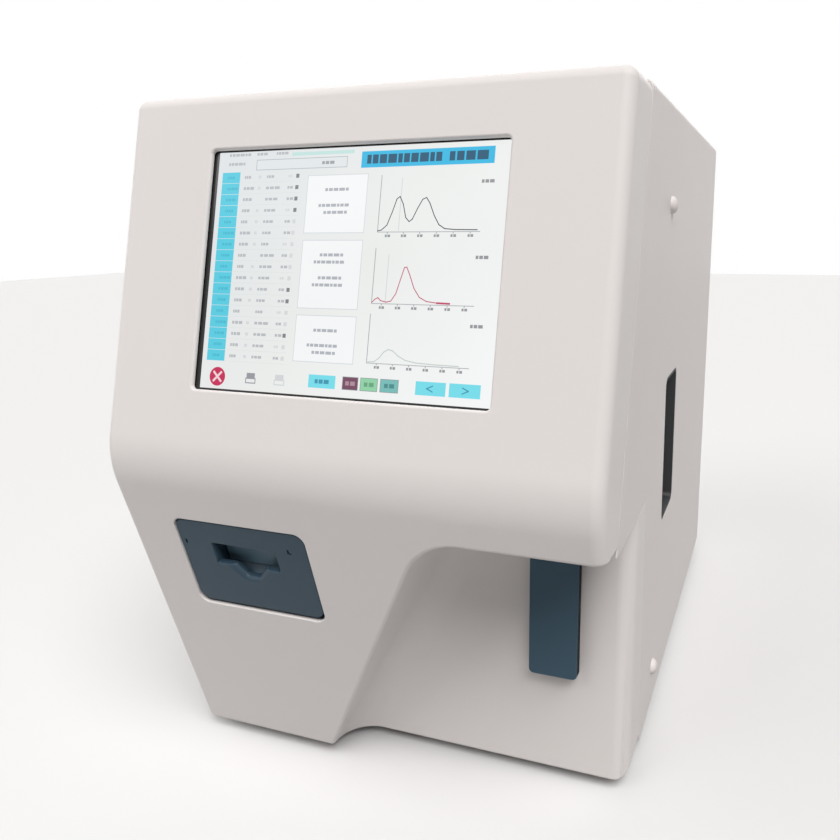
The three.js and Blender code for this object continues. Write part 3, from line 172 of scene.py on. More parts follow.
HALF_WIDTH, FLOOR_Z, TOP_Z, FRONT_Y, REAR_Y = 177.0, 10.0, 496.0, -215.3, 264.7
WALL, SIDE_RADIUS, TOP_RADIUS, CHIN_RADIUS, FOOT_RADIUS, COVER_REACH = 3.0, 9.0, 9.0, 70.0, 5.0, 130.0
FACE_TILT, LOWER_TILT, FOOT_SETBACK = radians(16.1), radians(13.3), 11.0
SEAM_DEPTH, LOWER_SEAM, SHOULDER = 48.0, 68.0, 204.0
BAY = {"setback": 19.6, "tilt": radians(3.5), "height": 206.5, "foot_x": -53.7, "foot_drop": 1.9,
       "corner_x": 60.1, "corner": 45.0, "fillet": 24.0, "reach": 130.0, "edge": 12.0}
BEYOND = 30.0


def flat(a, b):
    return Vector((a, b))


def rounded(corners, radii, steps):
    """Closed outline through the corners, each rounded with its own radius in its own number of steps."""
    points = []
    for i, corner in enumerate(corners):
        if not radii[i]:
            points.append(corner.copy())
            continue
        before = (corners[i - 1] - corner).normalized()
        after = (corners[(i + 1) % len(corners)] - corner).normalized()
        half = acos(max(-1.0, min(1.0, before.dot(after)))) / 2
        centre = corner + (before + after).normalized() * radii[i] / sin(half)
        start = corner + before * radii[i] / tan(half) - centre
        turn = copysign(pi - 2 * half, before.x * after.y - before.y * after.x)
        for k in range(steps[i] + 1):
            points.append(centre + Matrix.Rotation(-turn * k / steps[i], 2) @ start)
    return points


def rectangle(left, right, bottom, top):
    return [flat(left, bottom), flat(right, bottom), flat(right, top), flat(left, top)]


def circle(x, y, radius, sides=28):
    turns = [2 * pi * k / sides for k in range(sides)]
    return [flat(x + radius * cos(a), y + radius * sin(a)) for a in turns]


def quarter_turn(steps):
    return [k * pi / (2 * steps) for k in range(steps + 1)]


def made(name, shape, *paints):
    """Piece from a bmesh, which is used up."""
    mesh = bpy.data.meshes.new(name)
    shape.to_mesh(mesh)
    shape.free()
    for paint in filter(None, paints):
        mesh.materials.append(paint)
    return in_scene(name, mesh)


def closed(name, shape, *paints):
    bmesh.ops.recalc_face_normals(shape, faces=shape.faces)
    return made(name, shape, *paints)


def lofted(name, rings, paint=None):
    """Closed solid through rings of equal length, given as lists of 3-D points in millimetres."""
    shape = bmesh.new()
    rows = [[shape.verts.new(Vector(point) * MM) for point in ring] for ring in rings]
    for lower, upper in zip(rows, rows[1:]):
        for k in range(len(lower)):
            m = (k + 1) % len(lower)
            shape.faces.new((lower[k], lower[m], upper[m], upper[k]))
    shape.faces.new(rows[0][::-1])
    shape.faces.new(rows[-1])
    return closed(name, shape, paint)


def tilted_face(y, z, tilt):
    """Frame of a leaning face: X runs right, Y up the face and Z out of it, in millimetres."""
    turn = Matrix.Rotation(pi / 2 - tilt, 4, "X")
    return Matrix.Translation((0, y, z)) @ turn


SCREEN_FACE = tilted_face(FRONT_Y, TOP_Z, FACE_TILT)
LOWER_FACE = tilted_face(FRONT_Y - FOOT_SETBACK, FLOOR_Z, -LOWER_TILT)
BAY_WALL = tilted_face(FRONT_Y + BAY["setback"], FLOOR_Z, BAY["tilt"])
PRINTER = LOWER_FACE @ Matrix.Translation((-80, 173, 0))


def raised(outline, height, place):
    return [place @ Vector((p.x, p.y, height)) for p in outline]


def upright(outline, x):
    return [(x, p.x, p.y) for p in outline]


def slab(name, outline, low, high, place, paint=None):
    return lofted(name, [raised(outline, height, place) for height in (low, high)], paint)


def leaning(y, z, tilt, inward):
    start = flat(y + inward * cos(tilt), z - inward * sin(tilt))
    return start, flat(sin(tilt), cos(tilt))


def at_height(line, z):
    start, along = line
    return flat(start.x + (z - start.y) * along.x / along.y, z)


def meeting(first, second):
    between = second[0] - first[0]
    cross = lambda a, b: a.x * b.y - a.y * b.x
    return first[0] + first[1] * cross(between, second[1]) / cross(first[1], second[1])


def cover_profile(inset):
    face = leaning(FRONT_Y, TOP_Z, FACE_TILT, inset)
    lower = leaning(FRONT_Y - FOOT_SETBACK, FLOOR_Z, -LOWER_TILT, inset)
    back = FRONT_Y + COVER_REACH + inset
    corners = [flat(back, TOP_Z - inset), at_height(face, TOP_Z - inset), meeting(face, lower),
               at_height(lower, FLOOR_Z + inset), flat(back, FLOOR_Z + inset)]
    radii = [0] + [max(radius - inset, WALL / 3) for radius in (TOP_RADIUS, CHIN_RADIUS, FOOT_RADIUS)] + [0]
    return rounded(corners, radii, [0, 10, 18, 6, 0])


def soft_block(name, inset, paint):
    """Block with the side view of the cover, rounded where its sides meet the face."""
    half, radius = [], SIDE_RADIUS - inset
    for angle in quarter_turn(9):
        side = HALF_WIDTH - inset - radius * (1 - cos(angle))
        half.append((side, cover_profile(inset + radius * (1 - sin(angle)))))
    rings = [upright(outline, -x) for x, outline in half] + [upright(outline, x) for x, outline in reversed(half)]
    return lofted(name, rings, paint)


def bay_space(name, grow, paint):
    slope = atan2(BAY["corner_x"] - BAY["foot_x"], BAY["height"] + BAY["foot_drop"])

    def outline(out):
        top = BAY["height"] + out
        top_x = BAY["corner_x"] - out / cos(slope) + out * tan(slope)
        low = -BAY["foot_drop"] - 2 * BEYOND
        low_x = top_x + (low - top) * tan(slope)
        right = HALF_WIDTH + 2 * BEYOND
        corners = [flat(low_x, low), flat(right, low), flat(right, top), flat(top_x, top)]
        return rounded(corners, [0, 0, 0, BAY["corner"] + out], [0, 0, 0, 20])

    rings, radius = [], BAY["fillet"] + grow
    for angle in quarter_turn(12):
        depth = radius * (1 - cos(angle)) - grow
        rings.append(raised(outline(grow - radius * (1 - sin(angle))), depth, BAY_WALL))
    rings.append(raised(outline(grow), BAY["reach"], BAY_WALL))
    return lofted(name, rings, paint)


def bay_corner(name, grow, paint):
    """What comes off the upright corner between the bay's rear wall and the right side."""
    centre = BAY["edge"]
    x, radius = HALF_WIDTH - centre, centre - grow
    points = [flat(x, -grow), flat(x, BEYOND), flat(HALF_WIDTH + BEYOND, BEYOND), flat(HALF_WIDTH + BEYOND, -centre)]
    for angle in quarter_turn(10)[:-1]:
        points.append(flat(x + radius * cos(angle), -centre + radius * sin(angle)))
    ends = (-BEYOND, BAY["height"])
    rings = [[BAY_WALL @ Vector((p.x, rise, p.y)) for p in points] for rise in ends]
    return lofted(name, rings, paint)


def behind_seam(name, shift, paint):
    seam = leaning(FRONT_Y, TOP_Z, FACE_TILT, SEAM_DEPTH + shift)
    shoulder = FLOOR_Z + SHOULDER + shift
    low_seam = FRONT_Y + LOWER_SEAM + shift
    high, low, far = TOP_Z + BEYOND, FLOOR_Z - BEYOND, REAR_Y + BEYOND
    points = [flat(far, high), at_height(seam, high), at_height(seam, shoulder), flat(low_seam, shoulder),
              flat(low_seam, low), flat(far, low)]
    return lofted(name, [upright(points, x) for x in (-HALF_WIDTH - BEYOND, HALF_WIDTH + BEYOND)], paint)


def settled(piece, *tools):
    """Piece with its modifiers worked into its mesh; the tools go."""
    bpy.context.view_layer.update()
    ready = bpy.data.meshes.new_from_object(piece.evaluated_get(bpy.context.evaluated_depsgraph_get()))
    piece.modifiers.clear()
    old = piece.data
    piece.data = ready
    ready.name = piece.name
    bpy.data.meshes.remove(old)
    for tool in tools:
        bpy.data.objects.remove(tool)
    return piece


def cut(piece, *tools, how="DIFFERENCE"):
    """Cuts with (or joins) other solids; each cut face keeps the paint of its tool."""
    for tool in tools:
        having(piece.modifiers.new("core", "BOOLEAN"), operation=how, object=tool, solver="EXACT",
               material_mode="TRANSFER")
    return settled(piece, *tools)


mark = {name: bpy.data.materials.new("mark_" + name) for name in
        ("skin", "inner", "seam", "bay", "screen", "hatch", "stem", "needle")}
screen_outline = rounded(rectangle(-106, 106, -196.6, -37.6), [3] * 4, [6] * 4)
hatch_outline = rounded(rectangle(-53.9, 53.9, -38.4, 36.9), [8] * 4, [9] * 4)
stem_outline = rectangle(115.6, 131.6, 111.5, 157.5)
needle_outline = circle(123.5, FRONT_Y - 6, 2.6, 32)

cover = soft_block("front_moulding", 0, mark["skin"])
core = cut(soft_block("core", WALL, mark["inner"]), bay_space("liner_space", WALL, mark["inner"]),
           bay_corner("liner_corner", WALL, mark["inner"]))
back_core = cut(behind_seam("back_core", 0, mark["seam"]), soft_block("plain_core", WALL, mark["inner"]))
cut(cover, core, back_core, bay_space("open_bay", 0, mark["bay"]), bay_corner("open_corner", 0, mark["bay"]),
    slab("screen_hole", screen_outline, -BEYOND, BEYOND, SCREEN_FACE, mark["screen"]),
    slab("hatch_hole", hatch_outline, -BEYOND / 2, BEYOND, PRINTER, mark["hatch"]),
    slab("stem_hole", stem_outline, -BEYOND / 2, BEYOND / 2, BAY_WALL, mark["stem"]),
    slab("needle_hole", needle_outline, 150, 260, Matrix(), mark["needle"]))


def shaded(piece, smooth=None):
    """Smooth shading, sharp past the given angle, with normals that follow the larger faces."""
    piece.data.shade_smooth()
    if smooth:
        piece.data.set_sharp_from_angle(angle=radians(smooth))
    having(piece.modifiers.new("even_shading", "WEIGHTED_NORMAL"), keep_sharp=True)
    return piece


def bevelled(piece, width, segments, **settings):
    having(piece.modifiers.new("broken_edges", "BEVEL"), width=width * MM, segments=segments, **settings)
    return settled(piece)


def soften(piece, widths, otherwise=0.25):
    """Rounds the edges where two marked surfaces meet, each pair with its own width in millimetres."""
    widths = {frozenset(pair): width for pair, width in widths.items()}
    widest = max(widths.values())
    shape = bmesh.new()
    shape.from_mesh(piece.data)
    bmesh.ops.remove_doubles(shape, verts=shape.verts, dist=1e-6)
    bmesh.ops.dissolve_degenerate(shape, edges=shape.edges, dist=1e-6)
    weight = shape.edges.layers.float.new("bevel_weight_edge")
    names = [slot.name.replace("mark_", "") if slot else "" for slot in piece.data.materials]
    for edge in shape.edges:
        if len(edge.link_faces) != 2:
            continue
        pair = frozenset(names[face.material_index] for face in edge.link_faces)
        bend = edge.calc_face_angle(0)
        if len(pair) == 2 and bend > radians(8):
            edge[weight] = widths.get(pair, otherwise) / widest
        elif bend > radians(35):
            edge[weight] = otherwise / widest
    shape.to_mesh(piece.data)
    shape.free()
    bevelled(piece, widest, 3, limit_method="WEIGHT", use_clamp_overlap=False, miter_outer="MITER_ARC")
    return shaded(piece)


soften(cover, {("skin", "bay"): 2.4, ("skin", "screen"): 1.8, ("skin", "hatch"): 0.7, ("skin", "seam"): 0.5,
               ("bay", "stem"): 0.5, ("bay", "needle"): 0.4, ("bay", "seam"): 0.4})


def node_group(name, inputs, outputs, use="Shader"):
    """Group with its sockets made, and the values that come into it."""
    group = bpy.data.node_groups.new(name, use + "NodeTree")
    for way, sockets in (("INPUT", inputs), ("OUTPUT", outputs)):
        for label, kind in sockets.items():
            group.interface.new_socket(label, in_out=way, socket_type="NodeSocket" + kind)
    return group, group.nodes.new("NodeGroupInput").outputs


def on_object(tree):
    return added(tree, "TexCoord").outputs["Object"]


def texture(tree, kind, coordinates, **values):
    return added(tree, "Tex" + kind, {"Vector": coordinates, **values}).outputs


def swing(tree, value, share):
    """How far a texture's value lies from its middle, times a share."""
    return maths(tree, "MULTIPLY", maths(tree, "SUBTRACT", value, 0.5), share)


def scaled(tree, colour, share):
    return added(tree, "VectorMath", {0: colour, "Scale": share}, operation="SCALE").outputs["Vector"]


# Spark finish: fine grain of a mould wall, with slow drifts of tone and of gloss.
SURFACE = {"Colour": "Color", "Roughness": "Float", "Height": "Float"}
spark, given = node_group("spark_finish", {"Colour": "Color", "Grain Size": "Float", "Grain Depth": "Float",
                                           "Drift": "Float", "Roughness": "Float"}, SURFACE)
place = on_object(spark)
grains = maths(spark, "DIVIDE", 1.0, given["Grain Size"])
grain = texture(spark, "Noise", place, Scale=grains, Detail=3.0, Roughness=0.6)["Fac"]
pits = texture(spark, "Voronoi", place, Scale=grains)["Distance"]
cloud = texture(spark, "Noise", place, Scale=7.0, Detail=4.0, Roughness=0.5)["Fac"]
smear = texture(spark, "Noise", place, Scale=28.0, Detail=3.0, Roughness=0.55)["Fac"]
relief = maths(spark, "ADD", maths(spark, "MULTIPLY", grain, 0.7), maths(spark, "MULTIPLY", pits, 0.3))
drift = maths(spark, "ADD", swing(spark, cloud, given["Drift"]), swing(spark, grain, given["Drift"]))
added(spark, "NodeGroupOutput", {
    "Colour": scaled(spark, given["Colour"], maths(spark, "ADD", 1.0, drift)),
    "Roughness": maths(spark, "ADD", given["Roughness"], swing(spark, smear, 0.12)),
    "Height": maths(spark, "MULTIPLY", relief, given["Grain Depth"])})


def rgb(red, green, blue):
    """Colour from the 0-255 values of a colour card."""
    straight = [value / 255 for value in (red, green, blue)]
    return tuple(v / 12.92 if v <= 0.04045 else ((v + 0.055) / 1.055) ** 2.4 for v in straight) + (1.0,)


def surfaced(name, effect, values, bump, even):
    """Material whose colour, gloss and relief come out of an effect; what is even over it is set on the shader."""
    paint, tree = new_paint(name)
    paint.diffuse_color = values["Colour"]
    over = added(tree, "Group", values, node_tree=effect).outputs
    relief = added(tree, "Bump", {"Distance": bump, "Strength": 0.6, "Height": over["Height"]})
    fed(tree, tree.nodes["Principled BSDF"], {"Base Color": over["Colour"], "Roughness": over["Roughness"],
                                              "Normal": relief.outputs["Normal"], **even})
    return paint


def finish(name, colour, roughness, grain=0.0006, depth=0.5, drift=0.05, bump=0.00003, shine=0.5):
    """Plastic, paint, rubber or paper with the spark finish in its colour, its gloss and its relief."""
    values = {"Colour": colour, "Grain Size": grain, "Grain Depth": depth, "Drift": drift, "Roughness": roughness}
    return surfaced(name, spark, values, bump, {"Specular IOR Level": shine})


shell_white = finish("shell_white", rgb(230, 225, 223), 0.5, grain=0.0007, drift=0.03, shine=0.3)


def painted(piece, paint):
    piece.data.materials.clear()
    piece.data.materials.append(paint)
    return piece


def fitted(piece, body, slot, *nodes):
    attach(piece, body)
    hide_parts(*nodes)
    return piece


for face in cover.data.polygons:
    face.material_index = 0
painted(cover, shell_white)
fitted(cover, "housing", "warm_white_shell", "front_cover")


# Wrap cover. One sheet of steel folded over both sides and the top, powder coated in the same white with a fine
# orange peel. Its edges are deburred, and a block under each fold meets the rounder corner of the front cover.

def dressed(node, slot, paint, edge=0.3, segments=2):
    """Finished copy of a machined or pressed piece: whole faces, broken edges and even shading."""
    source = frame["nodes"][node]
    shape = bmesh.new()
    shape.from_mesh(source.data)
    bmesh.ops.remove_doubles(shape, verts=shape.verts, dist=1e-6)
    bmesh.ops.dissolve_limit(shape, angle_limit=radians(1), verts=shape.verts, edges=shape.edges)
    piece = made(node + "_finished", shape)
    bevelled(piece, edge, segments, limit_method="ANGLE", angle_limit=radians(30))
    painted(shaded(piece, 40), paint)
    return fitted(piece, source["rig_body"], slot, node)


sheet_white = finish("sheet_white", rgb(226, 220, 218), 0.52, grain=0.0016, depth=1.0, drift=0.02, bump=0.00004,
                     shine=0.3)
dressed("wrap_cover", "warm_white_sheet", sheet_white, edge=0.35)
dressed("rear_panel", "warm_white_sheet", sheet_white, edge=0.25)


def gathered(name, pieces):
    """One piece from several, each with its own paint."""
    shape = bmesh.new()
    paints = []
    for piece in pieces:
        paint = piece.data.materials[0]
        if paint not in paints:
            paints.append(paint)
        first = len(shape.faces)
        shape.from_mesh(piece.data)
        shape.faces.ensure_lookup_table()
        for face in shape.faces[first:]:
            face.material_index = paints.index(paint)
        bpy.data.objects.remove(piece)
    return shaded(closed(name, shape, *paints), 35)


SHEET, FOLD, STOP, CLEAR = 1.2, 5.0, 14.0, 0.1
seam_line = leaning(FRONT_Y, TOP_Z, FACE_TILT, SEAM_DEPTH)
stop_outline = rounded(rectangle(HALF_WIDTH - STOP, HALF_WIDTH - SHEET - CLEAR, TOP_Z - STOP, TOP_Z - SHEET - CLEAR),
                       [0, 0, FOLD - SHEET, 0], [0, 0, 8, 0])
stops = []
for side in (-1, 1):
    rings = [[(side * p.x, at_height(seam_line, p.y).x + shift, p.y) for p in stop_outline] for shift in (0.3, 9)]
    stops.append(lofted("corner_stop", rings, sheet_white))
corner_stops = gathered("corner_stops", stops)
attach(corner_stops, "housing")


# Grip cups. Two black cups with a dry, slightly coarse mould finish, clipped into the side slots from inside.

cup_black = finish("cup_black", rgb(30, 31, 34), 0.6, grain=0.0011, depth=0.9, drift=0.14, bump=0.00006)
for side in ("left", "right"):
    dressed("grip_cup_" + side, "black_plastic", cup_black, edge=0.4)


# Side screws. Four dome heads under the same white paint hold the sheet to the frame inside. One head is turned, and
# a node tree sets a copy at every place and turns it to its own angle.

def turned(name, profile, paint=None, sides=40):
    """Turned solid about Z from a half profile of radius and height, in millimetres."""
    shape = bmesh.new()
    rings = []
    for radius, height in profile:
        turns = [2 * pi * k / sides for k in range(sides if radius else 1)]
        rings.append([shape.verts.new(Vector((radius * cos(a), radius * sin(a), height)) * MM) for a in turns])
    for lower, upper in zip(rings, rings[1:]):
        for k in range(sides):
            m = (k + 1) % sides
            corners = [lower[k % len(lower)], lower[m % len(lower)], upper[m % len(upper)], upper[k % len(upper)]]
            unique = list(dict.fromkeys(corners))
            if len(unique) > 2:
                shape.faces.new(unique)
    return closed(name, shape, paint)


def dome_head(name, radius, height, shank, recess, length=3.6):
    """Screw with a domed head and, where the recess is given, a cross cut into it to that depth."""
    arcs = [(radius * cos(a), height * sin(a)) for a in quarter_turn(9)[1:-1]]
    head = turned(name, [(0, -length), (shank, -length), (shank, 0.02), (radius, 0.02)] + arcs + [(0, height)])
    arm = 0.55 * radius
    for turn in (0, pi / 2) if recess else ():
        cut(head, slab("driver_blade", rectangle(-arm, arm, -arm / 4, arm / 4), height - recess, height + 2,
                       Matrix.Rotation(turn, 4, "Z")))
    return head


fixing_tree, given = node_group("fixings_in_place", {"Places": "Geometry", "Head": "Object", "Finish": "Material",
                                                     "Turn Seed": "Int"}, {"Fixings": "Geometry"}, "Geometry")
settings = [given[label].identifier for label in ("Head", "Finish", "Turn Seed")]
tree = fixing_tree
head_shape = added(tree, "GeometryNodeObjectInfo", {"Object": given["Head"]})
facing = added(tree, "GeometryNodeInputNamedAttribute", {"Name": "facing"}, data_type="FLOAT_VECTOR")
stand_up = added(tree, "FunctionNodeAlignRotationToVector", {"Vector": facing.outputs[0]}, axis="Z")
spin = added(tree, "FunctionNodeRandomValue", {3: pi, "Seed": given["Turn Seed"]}, data_type="FLOAT")
own_turn = added(tree, "CombineXYZ", {"Z": spin.outputs[1]})
as_rotation = added(tree, "FunctionNodeEulerToRotation", {"Euler": own_turn.outputs[0]})
both_turns = added(tree, "FunctionNodeRotateRotation", {
    "Rotation": stand_up.outputs[0], "Rotate By": as_rotation.outputs[0]}, rotation_space="LOCAL")
copies = added(tree, "GeometryNodeInstanceOnPoints", {
    "Points": given["Places"], "Instance": head_shape.outputs["Geometry"], "Rotation": both_turns.outputs[0]})
whole = added(tree, "GeometryNodeRealizeInstances", {"Geometry": copies.outputs[0]})
coated = added(tree, "GeometryNodeSetMaterial", {"Geometry": whole.outputs[0], "Material": given["Finish"]})
added(tree, "NodeGroupOutput", {"Fixings": coated.outputs[0]})


def fixings(name, head, paint, places, seed):
    """One mesh with a copy of the head at each place, given as a point in millimetres and the way it faces."""
    mesh = bpy.data.meshes.new(name)
    mesh.from_pydata([Vector(point) * MM for point, way in places], [], [])
    ways = mesh.attributes.new("facing", "FLOAT_VECTOR", "POINT")
    ways.data.foreach_set("vector", [part for point, way in places for part in way])
    piece = in_scene(name, mesh)
    step = having(piece.modifiers.new("fixings", "NODES"), node_group=fixing_tree)
    for identifier, value in zip(settings, (head, paint, seed)):
        step[identifier] = value
    return shaded(settled(piece, head), 35)


side_places = [((side * HALF_WIDTH, FRONT_Y + setback, z), (side, 0, 0))
               for side in (1, -1) for setback, z in ((122, 44), (142, 424))]
dome = dome_head("dome_head", radius=6.6, height=5.0, shank=1.8, recess=0)
fitted(fixings("side_screws", dome, sheet_white, side_places, 5), "housing", "warm_white_sheet",
       *("side_screw_%d" % k for k in range(1, 5)))


# Display. A liquid crystal panel behind a touch glass, lit from behind. The glass has a black printed border, and the
# picture is laid out as such a unit shows a count: a list of values, three curves and a row of keys, all without words.

border_black = finish("border_black", rgb(12, 13, 15), 0.12, grain=0.002, depth=0.1, drift=0.1, bump=0.000002)
dressed("touch_glass", "screen_face", border_black)

picture = bmesh.new()
ink = picture.loops.layers.float_color.new("ink")
PICTURE_DEPTH = WALL + 0.4 - 0.05


def patch(points, colour, layer):
    """Flat piece of the picture: its corners in millimetres right of the middle and down from the top of the face."""
    height = -PICTURE_DEPTH + 0.004 * layer
    corners = [picture.verts.new(SCREEN_FACE @ Vector((x, y, height)) * MM) for x, y in points]
    face = picture.faces.new(corners)
    colours = colour if isinstance(colour, list) else [colour] * len(points)
    for loop, shade in zip(face.loops, colours):
        loop[ink] = shade


def bar(left, top, right, bottom, colour, layer=2):
    patch([(left, bottom), (right, bottom), (right, top), (left, top)], colour, layer)


def outline(left, top, right, bottom, colour, thick=0.45):
    bar(left, top, right, top - thick, colour)
    bar(left, bottom + thick, right, bottom, colour)
    bar(left, top, left + thick, bottom, colour)
    bar(right - thick, top, right, bottom, colour)


def word(left, middle, width, height, colour, letters):
    """Row of letter-sized bars in place of a word; their widths follow a fixed pattern."""
    shares = [3 + (5 * k) % 4 for k in range(letters)]
    unit = width / (sum(shares) + letters - 1)
    x = left
    for share in shares:
        bar(x, middle + height / 2, x + share * unit, middle - height / 2, colour, 3)
        x += (share + 1) * unit


def curve(points, thick, colour):
    points = [Vector(point) for point in points]
    for start, end in zip(points, points[1:]):
        along = (end - start).normalized() * thick / 2
        across = Vector((-along.y, along.x))
        patch([start - along - across, end + along - across, end + along + across, start - along + across], colour, 4)


PICTURE_LEFT, PICTURE_WIDTH, PICTURE_TOP, PICTURE_HEIGHT = -102.0, 210.0, -38.6, 156.6
cold, clear, warm = Vector(rgb(224, 229, 232)), Vector(rgb(238, 240, 238)), Vector(rgb(250, 251, 252))
columns, rows = 12, 9
for i in range(columns):
    for k in range(rows):
        corners, shades = [], []
        for u, v in ((i, k + 1), (i + 1, k + 1), (i + 1, k), (i, k)):
            corners.append((PICTURE_LEFT + PICTURE_WIDTH * u / columns, PICTURE_TOP - PICTURE_HEIGHT * v / rows))
            share = 0.62 * u / columns + 0.38 * v / rows
            shades.append(tuple(cold.lerp(clear, min(1, 2 * share)).lerp(warm, max(0, 2 * share - 1))))
        patch(corners, shades, 0)

key_cyan, key_mark = rgb(118, 224, 238), rgb(58, 150, 178)
rule_grey, text_grey, faint_grey = rgb(214, 220, 224), rgb(186, 189, 194), rgb(216, 218, 220)
tick_grey, limit_grey, title_ink = rgb(150, 154, 158), rgb(206, 210, 214), rgb(10, 84, 116)
word(-94, -40.6, 17, 1.7, text_grey, 6)
word(-72, -40.6, 8, 1.7, text_grey, 3)
word(-57, -40.6, 9, 1.7, text_grey, 4)
word(-94, -46.6, 13, 1.8, text_grey, 5)
bar(-45, -40.4, 1, -42.6, rgb(196, 230, 226), 1)
outline(-72, -44.2, -3.5, -51.2, rgb(178, 186, 192))
bar(-71.4, -44.8, -4.1, -50.6, rgb(228, 233, 235), 1)
word(-22, -47.8, 9, 2.0, rgb(160, 164, 170), 3)
bar(6.5, -41.8, 95.5, -52.0, rgb(40, 186, 230), 1)
word(10.5, -46.8, 51, 5.6, title_ink, 10)
word(66.5, -46.8, 25, 5.6, title_ink, 4)

for k in range(17):
    y = -55.6 - 7.35 * k
    bar(-98.4, y + 3.55, -84.2, y - 3.55, rgb(84, 206, 228), 1)
    word(-94, y, 5.5 + (k * 7) % 4, 1.7, rgb(68, 188, 212), 3 + k % 2)
    bar(-83.4, y - 3.4, -36.4, y - 3.6, rgb(222, 225, 226), 1)
    word(-80.5, y, 5.0 + (k * 3) % 4, 1.9, text_grey, 3)
    if k % 5 != 2:
        word(-69.5, y, 2.2, 1.9, faint_grey, 1)
    word(-63.0, y, 5.5 + (k * 5) % 6, 1.7, text_grey, 3)
    word(-46.5, y, 3.0 + k % 3, 1.7, text_grey if k % 3 else faint_grey, 2)
    bar(-40.6, y + 1.3, -38.2, y - 1.3, rgb(128, 130, 134) if k in (0, 1, 2, 3, 10, 11, 14) else faint_grey)

for top, bottom, lines in ((-55.6, -92.8, (9.5, 19.5, 24)), (-97, -140.6, (9.5, 14, 24, 28.5)),
                           (-144.6, -174.4, (9.5, 19, 23.5))):
    outline(-31.6, top, 12.4, bottom, rule_grey, 0.5)
    bar(-31.1, top - 0.5, 11.9, bottom + 0.5, rgb(248, 249, 250), 1)
    for k, drop in enumerate(lines):
        word(-18 - 4 * (k % 2), top - drop, 17 + 5 * (k % 2), 1.9, rgb(178, 182, 190), 5 + 2 * (k % 2))

graphs = (
    (-92, 35, rgb(74, 74, 86), [(0, 0.5), (2.5, 1), (6, 4), (9, 12), (11.5, 20), (13.5, 21.5), (16, 17), (18.5, 8.5),
                                 (21, 6), (23, 7.5), (26, 14), (29, 19.5), (31.5, 20.5), (34, 17), (37.5, 9.5),
                                 (41, 4), (45, 1.6), (52, 1), (66, 0.8)]),
    (-136, 34, rgb(196, 92, 122), [(0, 0.4), (2, 2.4), (4, 3.4), (6, 1.6), (10, 0.8), (13, 1.5), (16, 6), (18.5, 15),
                                   (20.5, 22), (22, 22.4), (24.5, 17.5), (28, 9.5), (32, 4.2), (37, 1.8), (44, 1)]),
    (-172.6, 30, rgb(196, 208, 202), [(0, 0.4), (5, 0.8), (8, 3), (11, 6.8), (14, 8.6), (17, 8), (21, 5), (26, 2.6),
                                       (33, 1.4), (45, 0.9), (61, 0.7)]),
)
for base, tall, shade, heights in graphs:
    bar(21.6, base + tall, 22.1, base, rgb(164, 168, 172))
    bar(21.6, base, 90, base - 0.5, rgb(176, 180, 184))
    curve([(22 + x, base + y) for x, y in heights], 0.6, shade)
    for k in range(6):
        bar(28.5 + 11 * k, base - 0.5, 29.0 + 11 * k, base - 1.4, tick_grey)
        word(27.2 + 11 * k, base - 2.6, 3.6, 1.6, tick_grey, 2)
    word(88.5, base + tall - 5.5, 8, 2.0, rgb(150, 152, 156), 3)
bar(36, -59, 36.4, -91.5, limit_grey, 1)
bar(31, -106, 31.4, -135.5, limit_grey, 1)
curve([(66, -135), (74, -135.2)], 1.1, rgb(196, 70, 104))

patch(circle(-88.6, -187.2, 6.2, 36), rgb(200, 30, 84), 2)
for left, right in (((-91.4, -184.4), (-85.8, -190)), ((-91.4, -190), (-85.8, -184.4))):
    curve([left, right], 1.5, rgb(244, 214, 220))
for x, shade in ((-65.5, rgb(150, 154, 160)), (-43.5, rgb(212, 216, 218))):
    bar(x, -183.6, x + 6.4, -186.8, shade)
    outline(x - 0.8, -186.8, x + 7.2, -190.4, shade, 0.7)
for left, right, shade, glyph, letters in (
    (-18.5, 1.0, key_cyan, key_mark, 3), (6.0, 17.2, rgb(118, 70, 94), rgb(176, 140, 156), 2),
    (18.6, 30.8, rgb(146, 212, 168), rgb(104, 168, 128), 2), (32.4, 45.0, rgb(120, 190, 186), rgb(72, 140, 140), 2),
    (56.4, 76.2, key_cyan, key_mark, 0), (78.4, 98.4, key_cyan, key_mark, 0),
):
    bar(left, -182.0, right, -190.2, shade, 1)
    if shade != key_cyan:
        outline(left, -182.0, right, -190.2, rgb(140, 150, 154), 0.4)
    word((left + right) / 2 - 1.7 * letters, -186.1, 3.4 * letters, 2.6, glyph, letters)
for point, tip in ((67.6, 63.8), (87.0, 90.8)):
    curve([(point, -184.4), (tip, -186.1), (point, -187.8)], 0.7, key_mark)

picture_light, tree = new_paint("picture_light")
haze = texture(tree, "Noise", on_object(tree), Scale=16.0, Detail=2.0, Roughness=0.5)["Fac"]
evenness = maths(tree, "ADD", 0.97, maths(tree, "MULTIPLY", haze, 0.05))
inked = added(tree, "VertexColor", layer_name="ink").outputs["Color"]
fed(tree, tree.nodes["Principled BSDF"], {
    "Emission Color": scaled(tree, inked, evenness), "Emission Strength": 0.94, "Base Color": (0.02, 0.02, 0.02, 1),
    "Roughness": 0.14, "Specular IOR Level": 0.15})
lit_picture = made("lit_picture", picture, picture_light)
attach(lit_picture, "housing")


# Roll printer. The door is a slate moulding with a finger pocket behind its window, hinged on two steel pins. The
# paddle in the window and the rubber roller with its gear ride on it; the roll, the head and the motor stay inside.

slate = finish("slate_plastic", rgb(52, 72, 86), 0.42, grain=0.0005, depth=0.6, drift=0.06, bump=0.00002, shine=0.25)
grey = finish("grey_plastic", rgb(140, 145, 151), 0.5)
black = finish("black_plastic", rgb(26, 28, 31), 0.48, depth=0.6, drift=0.1)
rubber = finish("black_rubber", rgb(34, 35, 37), 0.85, grain=0.0009, depth=0.8, drift=0.12, bump=0.00005)


